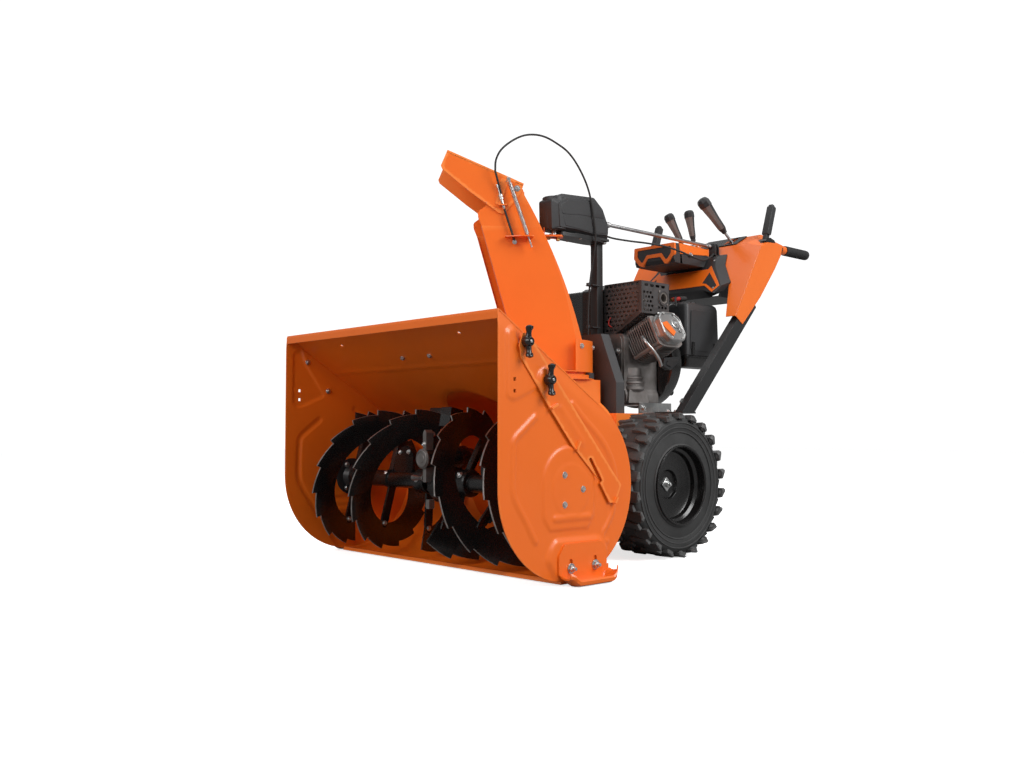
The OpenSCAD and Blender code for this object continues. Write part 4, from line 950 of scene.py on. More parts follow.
# Control cables
CABLE_R = 3
loop_route = [(-23, 447, 1013), (-24, 442, 1040), (-25, 432, 1072), (-26, 422, 1103), (-25, 424, 1135),
              (-22, 442, 1168), (-18, 480, 1200), (-14, 524, 1224), (-9, 567, 1234), (-4, 606, 1233),
              (3, 644, 1221), (13, 678, 1202), (24, 702, 1173), (35, 724, 1132), (42, 741, 1090),
              (45, 753, 1045), (46, 762, 1000), (45, 770, 955), (34, 778, 912), (20, 782, 866),
              (14, 778, 812), (13, 773, 760), (12, 770, 704), (12, 770, 648)]
turn_route = [(10, 849, 968), (18, 880, 962), (40, 930, 957), (68, 985, 953), (96, 1040, 946),
              (122, 1088, 932), (136, 1139, 917), (109, 1228, 922), (100, 1279, 938), (97, 1303, 953)]


def conduit(name, points, body, replaced):
    """A cable's conduit; with body None it is attached to no body."""
    shape = Shape()
    shape.tube(smooth_path(points, 7), CABLE_R, 14)
    obj = shape.piece(name, body, [RUBBER], replaced, angle=60)
    return obj


# The loop and its end are attached to no body, their placing baked into their meshes
JOIN = 3
obj = conduit("deflector_cable", loop_route[JOIN:][::-1], None, "control_cables")
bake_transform(obj)
obj = conduit("deflector_cable_end", loop_route[:JOIN + 1][::-1], None, ())
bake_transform(obj)
conduit("chute_cable", turn_route, "machine", ())

inv = CHUTE.inverted()
clamp = inv @ Vector(loop_route[0])
anchor = Vector((clamp.x, -130, 903))
ferrule = Shape(CHUTE)
ferrule.lathe([(-8, 4.6), (2, 5), (4, 3.6), (22, 3.6), (23, 6.6), (29, 6.6), (30, 4.4), (31, 4.4), (32, 6.6),
               (38, 6.6), (39, 4.2), (62, 4.2), (66, 2.4), (66, 0)],
              clamp + Vector((0, -12, 46)), clamp + Vector((0, 4, -12)), 16)
ferrule.piece("cable_ferrule", "deflector_body", [ZINC], bevel=0.3)
wire = Shape(CHUTE)
start = clamp + Vector((0, 6, -18))
wire.tube([start + (anchor - start) * (k / 12) for k in range(13)], 3.2, 10)
obj = wire.piece("cable_boot", None, [RUBBER], angle=60)
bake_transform(obj)
ring = Shape(CHUTE)
ring.lathe(rect(0, 6.5, 3, 3), anchor + Vector((0, 0, -3)), anchor + Vector((1, 0, -3)), 20,
           closed=True)
ring.rod((HALF_W - 0.5, anchor.y, anchor.z - 3), (anchor.x + 5, anchor.y, anchor.z - 3), 3, 14)
ring.piece("cable_anchor", "chute_body", [ZINC], bevel=0.3)

# Drive housing over the chute: bevelled covers with a pressed panel on each side
drive = Shape()
full = [(600, 952), (597.5, 1040), (640, 1064), (784, 1074), (824, 1044), (847, 992), (845, 950),
        (770, 948.6), (692, 953)]
flank = [(622, 960), (616, 1030), (650, 1050), (776, 1060), (812, 1034), (835, 988), (833, 962), (768, 957),
         (694, 962)]
full, flank = rounded(full, 5, 3), rounded(flank, 4, 3)
drive.rings([[(x, *p) for p in outline] for x, outline in
             ((-39.5, flank), (-37, flank), (-26, full), (26, full), (37, flank), (39.5, flank))])
for side in (1, -1):
    lower = rounded([(642, 966), (632, 994), (664, 996), (700, 1002), (818, 1004), (828, 986), (826, 966),
                     (768, 960), (694, 964)], 3, 2)
    upper = rounded([(628, 1000), (624, 1028), (656, 1046), (774, 1056), (806, 1032), (816, 1010),
                     (698, 1007), (662, 1001)], 3, 2)
    for outline in (lower, upper):
        c = Vector((sum(p[0] for p in outline) / len(outline), sum(p[1] for p in outline) / len(outline)))
        small = [tuple(c + (Vector(p) - c) * 0.96) for p in outline]
        drive.rings([[(side * 39, *p) for p in outline], [(side * 40.8, *p) for p in small]])
drive.lathe([(0, 37.5), (30, 37.5), (66, 36.5), (90, 35), (96, 35), (98, 33), (98, 24), (94, 23), (94, 0)],
            (0, 635, 956), "+z", 56)
drive.box((-33, 690, 944), (33, 846, 952), 1)
bottom = [(-30, 640), (30, 640), (34, 700), (34, 800), (24, 846), (-24, 846), (-34, 800), (-34, 700)]
drive.prism(rounded(bottom, 8), "z", 938, 950, 1)
for x, y in ((-28, 720), (28, 720), (-28, 830), (28, 830)):
    drive.lathe([(0, 3.4), (4, 3.4), (4, 2.2), (2, 2.2), (2, 0)], (x, y, 940), "-z", 16, 2)
drive.piece("chute_drive_cover", "machine", [PLASTIC, BLACK, ZINC], "chute_drive_housing", bevel=1.2,
            angle=24)

post = Shape()
square = rounded(rect(-14, 810, 14, 838), 3, 3)
post.prism(square, "z", 612, 947)
for x in (-18, 14.4):
    cheek = rounded([(806, 409), (842, 409), (842, 628), (836, 644), (812, 644), (806, 628)], 4)
    post.prism(cheek, "x", x, x + 3.6)
for z in (470, 620):
    post.bolt((18, 824, z), (1, 0, 0), 6.5, 5, 1)
    post.nut((-18, 824, z), (-1, 0, 0), 6, 6, 4, 6, 1)
for z in (676, 806):
    post.box((-3, 776, z - 4), (27, 812, z - 1), 2)
    post.lathe(rect(-4, 5.6, 4, 3.2), (12, 771, z), "+z", 16, 2, closed=True)
post.piece("chute_post_tube", "machine", [BLACK, ZINC, PLASTIC], "chute_post", bevel=0.6)

spindle = Shape()
a, b = Vector((12, 849, 1003)), Vector((85, 1332, 979))
spindle.lathe([(-7, 6), (482, 6), (485, 5), (485, 0)], a, b, 24)
spindle.lathe([(4, 6), (4, 9), (18, 9), (18, 6)], a, b, 24, closed=True)
spindle.lathe([(448, 6), (448, 9), (460, 9), (460, 6)], a, b, 24, closed=True)
spindle.piece("chute_rod_steel", "chute_rod_body", [STEEL], "chute_rod", bevel=0.4)


# ---- Engine ----------------------------------------------------------------

CRANK_Z = 574
CYLINDER = Matrix.Translation((0, 930, CRANK_Z)) @ Matrix.Rotation(math.radians(-25), 4, "Y")


def grid(u0, u1, v0, v1, du, dv, w, h, shift=0.5):
    """Rows of rounded slots, every other row moved along."""
    holes = []
    for row in range(int((v1 - v0) / dv) + 1):
        v = v0 + row * dv
        for k in range(int((u1 - u0) / du) + 1):
            u = u0 + k * du + (shift * du if row % 2 else 0)
            if u <= u1:
                holes.append(rounded(rect(u - w / 2, v - h / 2, u + w / 2, v + h / 2), min(w, h) * 0.45, 2))
    return holes


def clear_of(holes, outline, gap):
    """The holes that lie inside an outline, more than gap from its edge."""
    kept = []
    for hole in holes:
        pts = np.array(hole)
        u, v = pts[:, 0], pts[:, 1]
        if inside(u, v, outline).all() and distance(u, v, outline, True).min() > gap:
            kept.append(hole)
    return kept


block = Shape()
outline = rounded([(-105, 441), (95, 441), (95, 470), (88, 482), (88, 640), (80, 655), (-70, 655),
                   (-105, 610)], 8)
block.prism(outline, "y", 850, 1006)
block.prism(rounded([(x * 0.94 - 2, CRANK_Z + (z - CRANK_Z) * 0.93) for x, z in outline], 2), "y", 846, 1010)
for x, z in ((-84, 470), (-84, 588), (-40, 636), (30, 636), (68, 600), (76, 480), (0, 460)):
    block.lathe([(0, 10), (6, 10), (8, 8), (8, 0)], (x, 848, z), "-y", 20)
    block.bolt((x, 841, z), (0, -1, 0), 5, 4, 1)
block.lathe([(0, 58), (4, 58), (6, 54), (6, 44), (4, 42), (4, 30), (6, 28), (6, 16), (-2, 16), (-2, 58)],
            (0, 846, CRANK_Z), "-y", 48, closed=True)
for _, (x, z) in spots(6, 70, (0, 0), 12):
    rib = [(x * k, CRANK_Z + z * k + half) for k, half in ((0.75, -2), (1.05, -2), (1.05, 2), (0.75, 2))]
    block.prism(rib, "y", 843, 847)
# Foot under the cylinder, with its stacked rings and wedge base
block.lathe([(0, 40), (4, 44), (12, 44), (15, 38), (19, 38), (22, 43), (28, 43), (31, 36), (34, 36), (37, 40),
             (42, 40), (46, 34), (70, 33), (72, 0)], (72, 898, 480), "+z", 40)
block.rings([[(22, 852, 441.5), (104, 852, 441.5), (106, 944, 441.5), (22, 944, 441.5)],
             [(22, 852, 448), (104, 852, 448), (106, 944, 448), (22, 944, 448)],
             [(40, 864, 488), (98, 864, 488), (100, 934, 488), (40, 934, 488)]])
block.lathe([(0, 12), (14, 12), (16, 15), (24, 15), (26, 12), (26, 0)], (60, 852, 506), (60, 830, 516), 24, 2)
block.tube(smooth_path([(20, 842, 520), (34, 836, 508), (44, 838, 486), (40, 844, 462)], 4), 7, 12)
block.bolt((46, 846, 470), (0, -1, 0), 6, 5, 1)
block.piece("crankcase_casting", "machine", [CAST, ZINC, BLACK], "crankcase", bevel=1.0, angle=30)

# Finned cylinder
barrel = Shape(CYLINDER)
barrel.lathe([(72, 44), (206, 44), (206, 0)], (0, 0, 0), "+x", 40)
for k in range(13):
    x = 98 + 8.3 * k
    low = -58 + 6 * abs(k - 7) / 7
    fin = rounded([(-57, 50), (-57, -34), (-36, low), (38, low), (57, -40), (57, 50), (30, 52), (-30, 52)],
                  [6, 26, 22, 22, 20, 8, 3, 3], 4)
    barrel.prism(fin, "x", x, x + 2.6)
barrel.prism(rounded([(-57, -50), (-30, -57), (34, -57), (57, -44), (57, 48), (-57, 48)], 9), "x", 199, 206.5)
barrel.prism(rounded([(-46, -56), (-30, -56), (-24, 0), (-40, 10)], 5), "x", 150, 204)
for y, z in ((-46, -40), (46, -40), (-46, 40), (46, 40)):
    barrel.rod((96, y, z), (206, y, z), 7, 14)
barrel.piece("cylinder_fins", "machine", [CAST], "cylinder", bevel=0.5, angle=34)

# Valve cover: an octagon with a raised frame, a recessed face and a blank coloured patch
OCTAGON = [(-30, -50), (30, -50), (52, -28), (52, 28), (30, 50), (-30, 50), (-52, 28), (-52, -28)]


def octagon(scale, x):
    """Outline of the valve cover at x."""
    return [(x, y * scale, z * scale) for y, z in rounded(OCTAGON, 6, 3)]


cover = Shape(CYLINDER)
cover.rings([octagon(scale, x) for scale, x in (
    (1.0, 206.8), (1.0, 212), (0.95, 212.5), (0.95, 226), (0.985, 229), (0.985, 233), (0.95, 236),
    (0.90, 236), (0.86, 232.6), (0.02, 232.4))])
cover.prism(rounded([(-48, 8), (-20, 17), (5, -21), (-13, -36), (-45, -3)], 2), "x", 231, 236, 1)
border = [(-51, 12), (-19, 21), (9, -21), (-12, -40), (-16, -36), (2, -21), (-21, 15), (-48, 8)]
cover.prism(rounded(border, 1), "x", 231, 236.6)
cover.lathe([(0, 17), (3, 17), (4, 15), (4, 12), (2, 11), (2, 0)], (232, 18, 10), "+x", 32)
cover.lathe([(0, 8), (5, 8), (6, 6.5), (6, 0)], (232, 30, -12), "+x", 24)
cover.bolt((234, 18, 10), (1, 0, 0), 5.5, 4, 2)
for y, z in ((-27, -45), (27, -45), (-27, 45), (27, 45)):
    cover.bolt((235.5, y * 0.93, z * 0.93), (1, 0, 0), 4, 3, 2, washer=False)
cover.piece("valve_cover_cast", "machine", [BRIGHT_CAST, ORANGE, ZINC], "valve_cover", bevel=0.6, angle=24)

# Exhaust guard: punched sheet on every face
guard = Shape()
front = [(5, 655), (50, 655), (155, 714), (155, 812), (5, 812)]
holes = grid(16, 150, 722, 806, 17.5, 13.6, 12, 7.6) + grid(16, 150, 668, 712, 17.5, 13.6, 12, 7.6)
holes = clear_of(holes, front, 4)
sheet(guard, rounded(front, 4), facing("y", 855, -1), -1.8, holes)
sheet(guard, rounded(front, 4), facing("y", 987), 1.8)
flank = rect(855.4, 714, 986.6, 811.6)
outlet = disc((956, 766), 17.5, 28)
holes = clear_of(grid(866, 912, 724, 786, 15.5, 13.4, 11, 8), flank, 4)
holes += clear_of(grid(930, 976, 722, 736, 15.5, 13.4, 11, 8), flank, 4)
holes += [rounded(rect(y - 9, 796, y + 9, 804), 3, 2) for y in (876, 903, 930, 957)]
sheet(guard, flank, facing("x", 155), 1.8, holes + [outlet])
slope = math.atan2(59, 105)
length = math.hypot(59, 105)
ramp = rect(0, 856, length, 986)
holes = clear_of(grid(14, length - 8, 868, 976, 14.5, 16, 8.5, 11.5), ramp, 4)
sheet(guard, ramp, lambda s, y, h: Vector((50 + s * math.cos(slope) + h * math.sin(slope), y,
                                           655 + s * math.sin(slope) - h * math.cos(slope))), 1.8, holes)
lid = rect(5.4, 855.4, 154.6, 986.6)
holes = clear_of(grid(18, 146, 868, 976, 11, 27, 5, 19, 0), lid, 3)
sheet(guard, lid, facing("z", 812), 1.8, holes)
sheet(guard, rect(5.4, 855.4, 50, 986.6), facing("z", 655, -1), -1.8)
left = rect(855.4, 655.4, 986.6, 811.6)
holes = clear_of(grid(870, 975, 676, 798, 20, 15, 13, 8), left, 4)
sheet(guard, left, facing("x", 5, -1), -1.8, holes)
guard.lathe([(-1, 17), (3, 17), (3, 24), (5, 24), (5, 17.4), (-1, 17.4)],
            (155, 956, 766), "+x", 36, closed=True)
guard.lathe([(0, 24), (2.4, 24), (3.4, 22), (3.4, 16), (0, 16)],
            (155.5, 956, 766), "+x", 36, 1, closed=True)
for y, z in ((938, 784), (974, 748)):
    guard.bolt((156, y, z), (1, 0, 0), 3.6, 2.4, 1, washer=False)
guard.piece("exhaust_guard", "machine", [GUARD, EXHAUST], "muffler_guard", bevel=0, angle=30)

trim = Shape()
trim.tube(smooth_path([(158, 922, 716), (170, 942, 714), (175, 962, 712), (176, 988, 710), (172, 1010, 703),
                       (166, 1023, 690), (158, 1030, 672)], 4), 4, 14)
trim.lathe(rect(0, 6.5, 8, 4), (166, 936, 714.4), (174, 952, 713), 20, closed=True)
trim.prism(rounded([(905, 552), (911, 577), (986, 584), (978, 566), (940, 540)], 4), "x", 176, 196, 1)
trim.prism(rounded([(918, 556), (924, 570), (972, 575), (966, 566), (940, 550)], 3), "x", 196, 199, 2)
trim.tube(smooth_path([(150, 862, 640), (172, 852, 622), (186, 870, 596), (190, 892, 570),
                       (188, 904, 552)], 4), 5.5, 12)
trim.tube(smooth_path([(34, 850, 708), (30, 846, 696), (34, 842, 684), (44, 843, 676)], 3), 2.2, 8, 3)
trim.rod((40, 1016, 704), (40, 1066, 722), 2, 8, 0)
trim.piece("engine_fittings", "machine", [BRIGHT_CAST, BLACK, GUARD, RED], bevel=0.4, angle=34)

# Recoil starter and fan housing, behind the engine
fan_case = Shape()
fan_case.lathe([(0, 138), (4, 145.5), (40, 146), (52, 143), (60, 134), (60, 92), (64, 91), (68, 86),
                (70, 78), (70, 20), (66, 18), (66, 0)], (0, 1010, CRANK_Z), "+y", 72)
for count, vent, y0, y1 in ((24, ((98, -3), (128, -3), (128, 3), (98, 3)), 1069, 1072.5),
                            (10, ((30, -3), (72, -6), (72, 6), (30, 3)), 1079, 1081)):
    for a, _ in spots(count, 1, (0, 0)):
        ca, sa = math.cos(a), math.sin(a)
        quad = [(ca * r - sa * w, CRANK_Z + sa * r + ca * w) for r, w in vent]
        fan_case.prism(rounded(quad, 2.5, 2), "y", y0, y1, 1)
for _, (x, z) in spots(4, 134, (0, CRANK_Z), 45):
    fan_case.lathe([(0, 11), (58, 11), (60, 9), (60, 0)], (x, 1012, z), "+y", 20)
    fan_case.bolt((x, 1071, z), (0, 1, 0), 5, 4, 2)
fan_case.piece("fan_housing", "machine", [GLOSS_BLACK, RUBBER, ZINC], "recoil_housing", bevel=0.6, angle=34)

grip = Shape()
grip.tube([(-4, 1046, 702), (-82, 1046, 702)], 2.4, 10, 1)
rings = []
for k in range(17):
    t = -1 + k / 8
    r = 9 - 2.4 * (1 - t * t) if abs(t) < 0.98 else 6
    rings.append([(-94 + r * math.cos(a), 1046 + 32 * t, 702 + r * math.sin(a))
                  for a in (2 * math.pi * i / 18 for i in range(18))])
grip.rings(rings)
grip.lathe([(0, 8), (6, 7), (10, 4.4), (10, 0)], (-90, 1046, 702), "+x", 18)
grip.piece("starter_grip", "starter_pull", [PLASTIC, RUBBER], "recoil_handle", angle=50)

# Air cleaner: a tapered, round-cornered cover on a bevelled base
air = Shape()


def air_ring(z, inset, r=14):
    """Outline of the air cleaner at height z."""
    return [(x, y, z) for x, y in rounded(rect(60 + inset, 1080 + inset, 152 - inset, 1262 - inset), r, 5)]


air.rings([air_ring(z, i) for z, i in ((596, 4), (598, 2), (750, 5), (762, 8), (768, 14), (770, 22))])
air.rings([air_ring(z, i) for z, i in ((560, 16), (564, 12), (588, 1), (595, 1), (597, 4))], 1)
for y in (1112, 1230):
    air.box((151, y - 7, 600), (154.4, y + 7, 640), 1)
air.prism(rounded([(1100, 612), (1242, 612), (1236, 744), (1106, 744)], 12), "x", 148, 151.2)
air.lathe([(0, 12), (4, 12), (8, 9), (8, 0)], (106, 1171, 769), "+z", 24, 1)
air.piece("air_cleaner", "machine", [PLASTIC, GLOSS_BLACK], "air_box", bevel=1.2, angle=26)

# Fuel tank with a welded seam, filler neck and its cap
tank = Shape()
section = [(862, 655), (997, 655), (1007, 728), (1090, 728), (1090, 800), (1076, 812), (876, 812), (862, 800)]
section = rounded(section, [14, 12, 8, 12, 12, 14, 14, 12], 4)
mid_y, mid_z = 960, 745
FILLER = (-100, 990)


def tank_ring(x, k):
    """Outline of the tank at x, shrunk by k."""
    return [(x, mid_y + (y - mid_y) * k, mid_z + (z - mid_z) * k) for y, z in section]


tank.rings([tank_ring(x, k) for x, k in ((-186, 0.93), (-183, 0.97), (-176, 0.992), (-100, 0.995), (-99, 1.0),
                                        (-95, 1.0), (-94, 0.995), (-18, 0.992), (-11, 0.97), (-8, 0.93))])
tank.lathe([(0, 25), (3, 24), (10, 21.5), (10, 0)], (*FILLER, 811), "+z", 32)
tank.piece("fuel_tank_steel", "machine", [GLOSS_BLACK], "fuel_tank", bevel=0.8, angle=30)
cap_fuel = Shape()
cap_fuel.lathe([(0, 27), (4, 28), (15, 28), (18, 26), (20, 22), (20, 0)],
               (*FILLER, 812.4), "+z", 40)
for _, at in spots(20, 27.4, FILLER):
    cap_fuel.rod((*at, 815), (*at, 827), 1.6, 8)
cap_fuel.prism(rounded(rect(-120, 985, -80, 995), 4), "z", 831, 836)
cap_fuel.piece("filler_cap", "tank_cap", [PLASTIC], "fuel_cap", bevel=0.6, angle=34)

# Wiring and hoses, all fixed to the engine
hoses = Shape()
hoses.tube(smooth_path([(92, 1086, 556), (70, 1082, 536), (62, 1084, 490), (40, 1085, 458), (10, 1083, 447),
                        (-20, 1080, 452)], 5), 5, 12)
hoses.tube(smooth_path([(118, 1070, 752), (104, 1084, 781), (92, 1104, 786), (80, 1126, 782),
                        (60, 1140, 770)], 4), 3.4, 10)
hoses.rod((90, 1086, 779), (90, 1122, 785), 7, 14, 1)
hoses.rod((90, 1080, 778), (90, 1086, 779), 4.5, 12, 2)
hoses.rod((90, 1122, 785), (90, 1152, 788), 8.5, 14)
hoses.tube(smooth_path([(90, 1150, 788), (70, 1166, 786), (30, 1150, 770), (0, 1120, 744),
                        (-20, 1080, 720)], 5), 3.6, 10)
hoses.piece("engine_hoses", "machine", [RUBBER, RED, BRASS], angle=50)


# ---- Handlebars, dash, headlight and levers -------------------------------

BAR_X, BAR_Z = 240, 970
bars = Shape()
leg = rounded([(921, 414), (982, 414), (1316, 759), (1284, 790)], 3, 2)
bars.prism(leg, "x", 226, 254)
bars.prism(rounded([(1284, 790), (1316, 759), (1440, 958), (1440, 983), (1368, 983)], 4), "x", 236, 244)
bars.box((150.5, 921, 408.2), (254, 986, 414))
bars.rod((BAR_X, 1372, BAR_Z), (BAR_X, 1642, BAR_Z), 12.7, 32)
for y, z in ((957, 444), (1010, 490)):
    bars.bolt((226, y, z), (-1, 0, 0), 7, 5, 1)
for y in (935, 972):
    bars.bolt((190, y, 414), (0, 0, 1), 6, 5, 1)
bars.both().piece("handlebar_tubes", "machine", [BLACK, ZINC], "handlebars", bevel=0.8)

grips = Shape()
profile = [(0, 14.2), (1, 16.8), (6, 17), (12, 17)]
for k in range(12):
    at = 14 + k * 9.2
    profile += [(at, 17), (at + 1.4, 15.4), (at + 5, 15.4), (at + 6.4, 17)]
profile += [(130, 17), (138, 16.4), (141, 13), (141, 0)]
grips.lathe(profile, (BAR_X, 1507, BAR_Z), "+y", 32)
grips.both().piece("grip_rubbers", "machine", [RUBBER], "handle_grips", angle=40)
sleeves = Shape()
sleeves.lathe([(0, 13), (2, 15), (23, 15), (25, 13)], (BAR_X, 1481, BAR_Z), "+y", 32)
sleeves.both().piece("grip_sleeves", "machine", [ORANGE], bevel=0.4)

LEVER_PIVOT = (1408, 968)
CHUTE_LEVER_X, DEFLECTOR_LEVER_X, SPEED_LEVER_X = -80, -52, 126
# The dash's sloping front runs from its foot to its edge, and the top from the edge to its back
DASH_FOOT, DASH_EDGE, DASH_BACK = (1194, 722), (1355, 982), (1430, 1022)
SLOPE = (DASH_EDGE[0] - DASH_FOOT[0]) / (DASH_EDGE[1] - DASH_FOOT[1])
LEAN = math.hypot(1, SLOPE)


def on_front(x, z, h=0.0):
    """Point of the dash front at height z, lifted h off it."""
    return Vector((x, DASH_FOOT[0] + (z - DASH_FOOT[1]) * SLOPE - h / LEAN, z + h * SLOPE / LEAN))


RISE = (DASH_BACK[1] - DASH_EDGE[1]) / (DASH_BACK[0] - DASH_EDGE[0])
UPRIGHT = math.hypot(1, RISE)


def on_top(x, y, h=0.0):
    """Point of the dash top at y, lifted h off it."""
    rise = (y - DASH_EDGE[0]) * RISE
    return Vector((x, y - h * RISE / UPRIGHT, DASH_EDGE[1] + rise + h / UPRIGHT))


def ring_on(place, outline, h):
    """An outline put on a surface, lifted h off it."""
    return [place(u, v, h) for u, v in outline]


dash = Shape()
flank = [(1343.5, 964), (1386, 980.5), (1440, 984), (1474, 981), (1462, 946), (1424, 895), (1337, 794),
         (1233, 697), (1194, 722)]
for side in (1, -1):
    dash.prism(flank, "x", *sorted((side * 254, side * 257)))
half = [(200, 982), (257, 964), (257, 722), (219, 722), (184, 834), (172, 850), (134, 908), (122, 944)]
sheet(dash, mirror(half), on_front, 3)


def slot(x, y0, y1, w):
    """A slot along y with round ends; w is half its width."""
    return rounded(rect(x - w, y0, x + w, y1), w * 0.9, 3)


slots_cut = [rounded(rect(-105, 1374, -47, 1401), 10, 3), slot(117, 1366, 1428, 9.5)]
notch = [(-43, 1430), (-43, 1392), (-48, 1387), (-59, 1387), (-64, 1392), (-64, 1430)]
sheet(dash, [(-200, 1355), (200, 1355), (200, 1430), *notch, (-200, 1430)], on_top, 3, slots_cut)


def plate(shape, corners, t=3, mat=0):
    """A flat plate through corners given in order, t thick on its lower side."""
    drop = (corners[1] - corners[0]).cross(corners[2] - corners[0]).normalized()
    drop = drop if drop.z < 0 else -drop
    shape.rings([corners, [c + drop * t for c in corners]], mat)


for side in (1, -1):
    a, b, c, d, e, f, g, h = (Vector((side * x, y, z)) for x, y, z in (
        (200, 1355, 982), (257, 1343.5, 964), (257, 1386, 980.5), (200, 1399, 1005.5), (257, 1440, 984),
        (200, 1430, 1022), (257, 1474, 981), (200, 1474, 984)))
    for corners in ((a, b, d), (b, c, d), (d, c, e), (d, e, f), (f, e, g), (f, g, h)):
        plate(dash, list(corners))
for x0, x1 in ((-200, -64), (-43, 200)):
    plate(dash, [Vector(v) for v in ((x0, 1430, 1022), (x1, 1430, 1022), (x1, 1474, 984), (x0, 1474, 984))])
dash.piece("dash_shell", "machine", [ORANGE], "dash_panel", bevel=1.2, angle=24)

front = Shape()
base = [(62, 952), (131, 949), (140, 910), (190, 842), (171, 812), (126, 797)]
face = [(60, 946), (118, 942), (126, 908), (181, 831), (160, 806), (112, 820)]
base = mirror(base)
face = [(x, z - 15.8) for x, z in mirror(face)]
front.rings([ring_on(on_front, base, 0.5), ring_on(on_front, base, 4), ring_on(on_front, face, 28),
             ring_on(on_front, [(x * 0.985, 874 + (z - 874) * 0.975) for x, z in face], 30)])
front.box((-157, 1243, 797), (157, 1424, 800))
for x in (-157, 154):
    front.prism([(1338, 946), (1246, 800), (1424, 800), (1424, 1014)], "x", x, x + 3)
# A pedestal under each lever: a block with two cheeks that hold the lever's pin
sideways, lengthways, up = Vector((1, 0, 0)), Vector((0, 1, 0)), Vector((0, 0, 1))
for x, top, pin in ((CHUTE_LEVER_X, 973, lengthways), (DEFLECTOR_LEVER_X, 980, sideways),
                    (SPEED_LEVER_X, 980, sideways)):
    foot = Vector((x, LEVER_PIVOT[0], 0))
    half = 12 * (sideways + lengthways - pin)
    front.box(foot - 13 * pin - half + 798 * up, foot + 13 * pin + half + 954 * up)
    for s in (-13, 9):
        front.box(foot + s * pin - half + 950 * up, foot + (s + 4) * pin + half + top * up)
    pivot = foot + LEVER_PIVOT[1] * up
    front.rod(pivot - 13 * pin, pivot + 13 * pin, 4, 16, 1)
lug = [(74, 944), (102, 944), (102, 976), (96, 990), (80, 990), (74, 976)]
hub = Vector((81, 1308, 980.2))
front.prism(rounded(lug, 4), "y", 1308, 1312)
front.prism(rounded(lug, 4), "y", 1325, 1329)
front.box((74, 1308, 943), (102, 1329, 950))
front.lathe(rect(0, 9.6, 4, 6.4), hub, hub + Vector((2.9, 19, -0.9)), 24, 0, closed=True)
frame_out = [(101, 896), (109, 908), (174, 831), (152, 810), (112, 836)]
frame_in = [(112, 884), (163, 831), (152, 819), (116, 842), (98, 845)]
loops = [[(x, z - 15.8) for x, z in pts] for pts in (
    mirror(frame_out), frame_in, [(-x, z) for x, z in frame_in])]
sheet(front, loops[0], lambda u, v, h: on_front(u, v, 31.2 + h), 2, loops[1:], mat=2)
for x, z in ((-150, 812), (150, 812), (-112, 914), (112, 914)):
    at = on_front(x, z - 3, 29.5)
    out = on_front(0, 0, 1) - on_front(0, 0, 0)
    front.lathe([(0, 3.4), (1.2, 3.4), (1.6, 2.6), (1.6, 0)], at, at + out, 16, 1)
front.piece("dash_front_plate", "machine", [PLASTIC, ZINC, ORANGE], "dash_front", bevel=0.8, angle=20)

lamp_body = Shape()
lamp_body.prism([(1113, 906), (1107, 918), (1108, 964), (1116, 970), (1140, 969), (1152, 905)], "x", -82, 82)
lamp_body.prism([(1140, 905), (1140, 936), (1288, 946), (1294, 944), (1268, 905)], "x", -82, 82)
lamp_body.prism([(1138, 936), (1132, 971), (1290, 967), (1294, 947)], "x", -84, 84, 1)
bezel = [(84, 970), (86, 934), (62, 908), (46, 903), (26, 929)]
lens_line = [(70, 960), (71, 938), (56, 920), (48, 918), (31, 941)]
bezel, lens_line = mirror(bezel), mirror(lens_line)
sheet(lamp_body, rounded(bezel, 4, 2), facing("y", 1105, -1), 9,
      [rounded(lens_line, 3, 2)], mat=1)
lamp_body.prism(rounded(lens_line, 3, 2), "y", 1110, 1114, 2)
for k in range(-8, 9):
    lamp_body.box((k * 8 - 0.8, 1108.6, 941), (k * 8 + 0.8, 1110.4, 960), 2)
for x in (-50, 50):
    lamp_body.lathe([(0, 17), (1.6, 17), (1.6, 12), (0.6, 10), (0.6, 0)],
                    (x, 1110.5, 941), "-y", 32, 3)
for side in (1, -1):
    lamp_body.bolt((side * 86, 1190, 938), (side, 0, 0), 5, 4, 3)
lamp_body.piece("headlight_unit", "machine", [PLASTIC, ORANGE, LENS, BRIGHT_CAST], "headlight",
                bevel=1, angle=24)

gate = Shape()
GATE_T = 4
near_gate = rounded(rect(-12, 1360, 150, 1427), 6)
far_gate = rounded([(-112, 1366), (-45, 1366), (-45, 1386), (-64, 1386), (-64, 1427), (-112, 1427)], 4)
for outline, hole in ((near_gate, slot(117, 1367, 1426, 9)),
                      (far_gate, rounded(rect(-104, 1374, -67, 1401), 8, 3))):
    sheet(gate, outline, lambda u, v, h: on_top(u, v, GATE_T + h), GATE_T, [hole])
for k in range(7):
    y = 1372 + 7 * k
    gate.rings([ring_on(on_top, rect(92, y, 104, y + 1.4), h) for h in (3.5, 4.9)], 1)
for side in (1, -1):
    gate.prism(rounded([(1374, 984), (1380, 993), (1404, 1000), (1430, 993), (1434, 984)], 3), "x",
               *sorted((side * 225, side * 254)))
gate.piece("lever_gates", "machine", [GLOSS_BLACK, ORANGE], bevel=0.5)

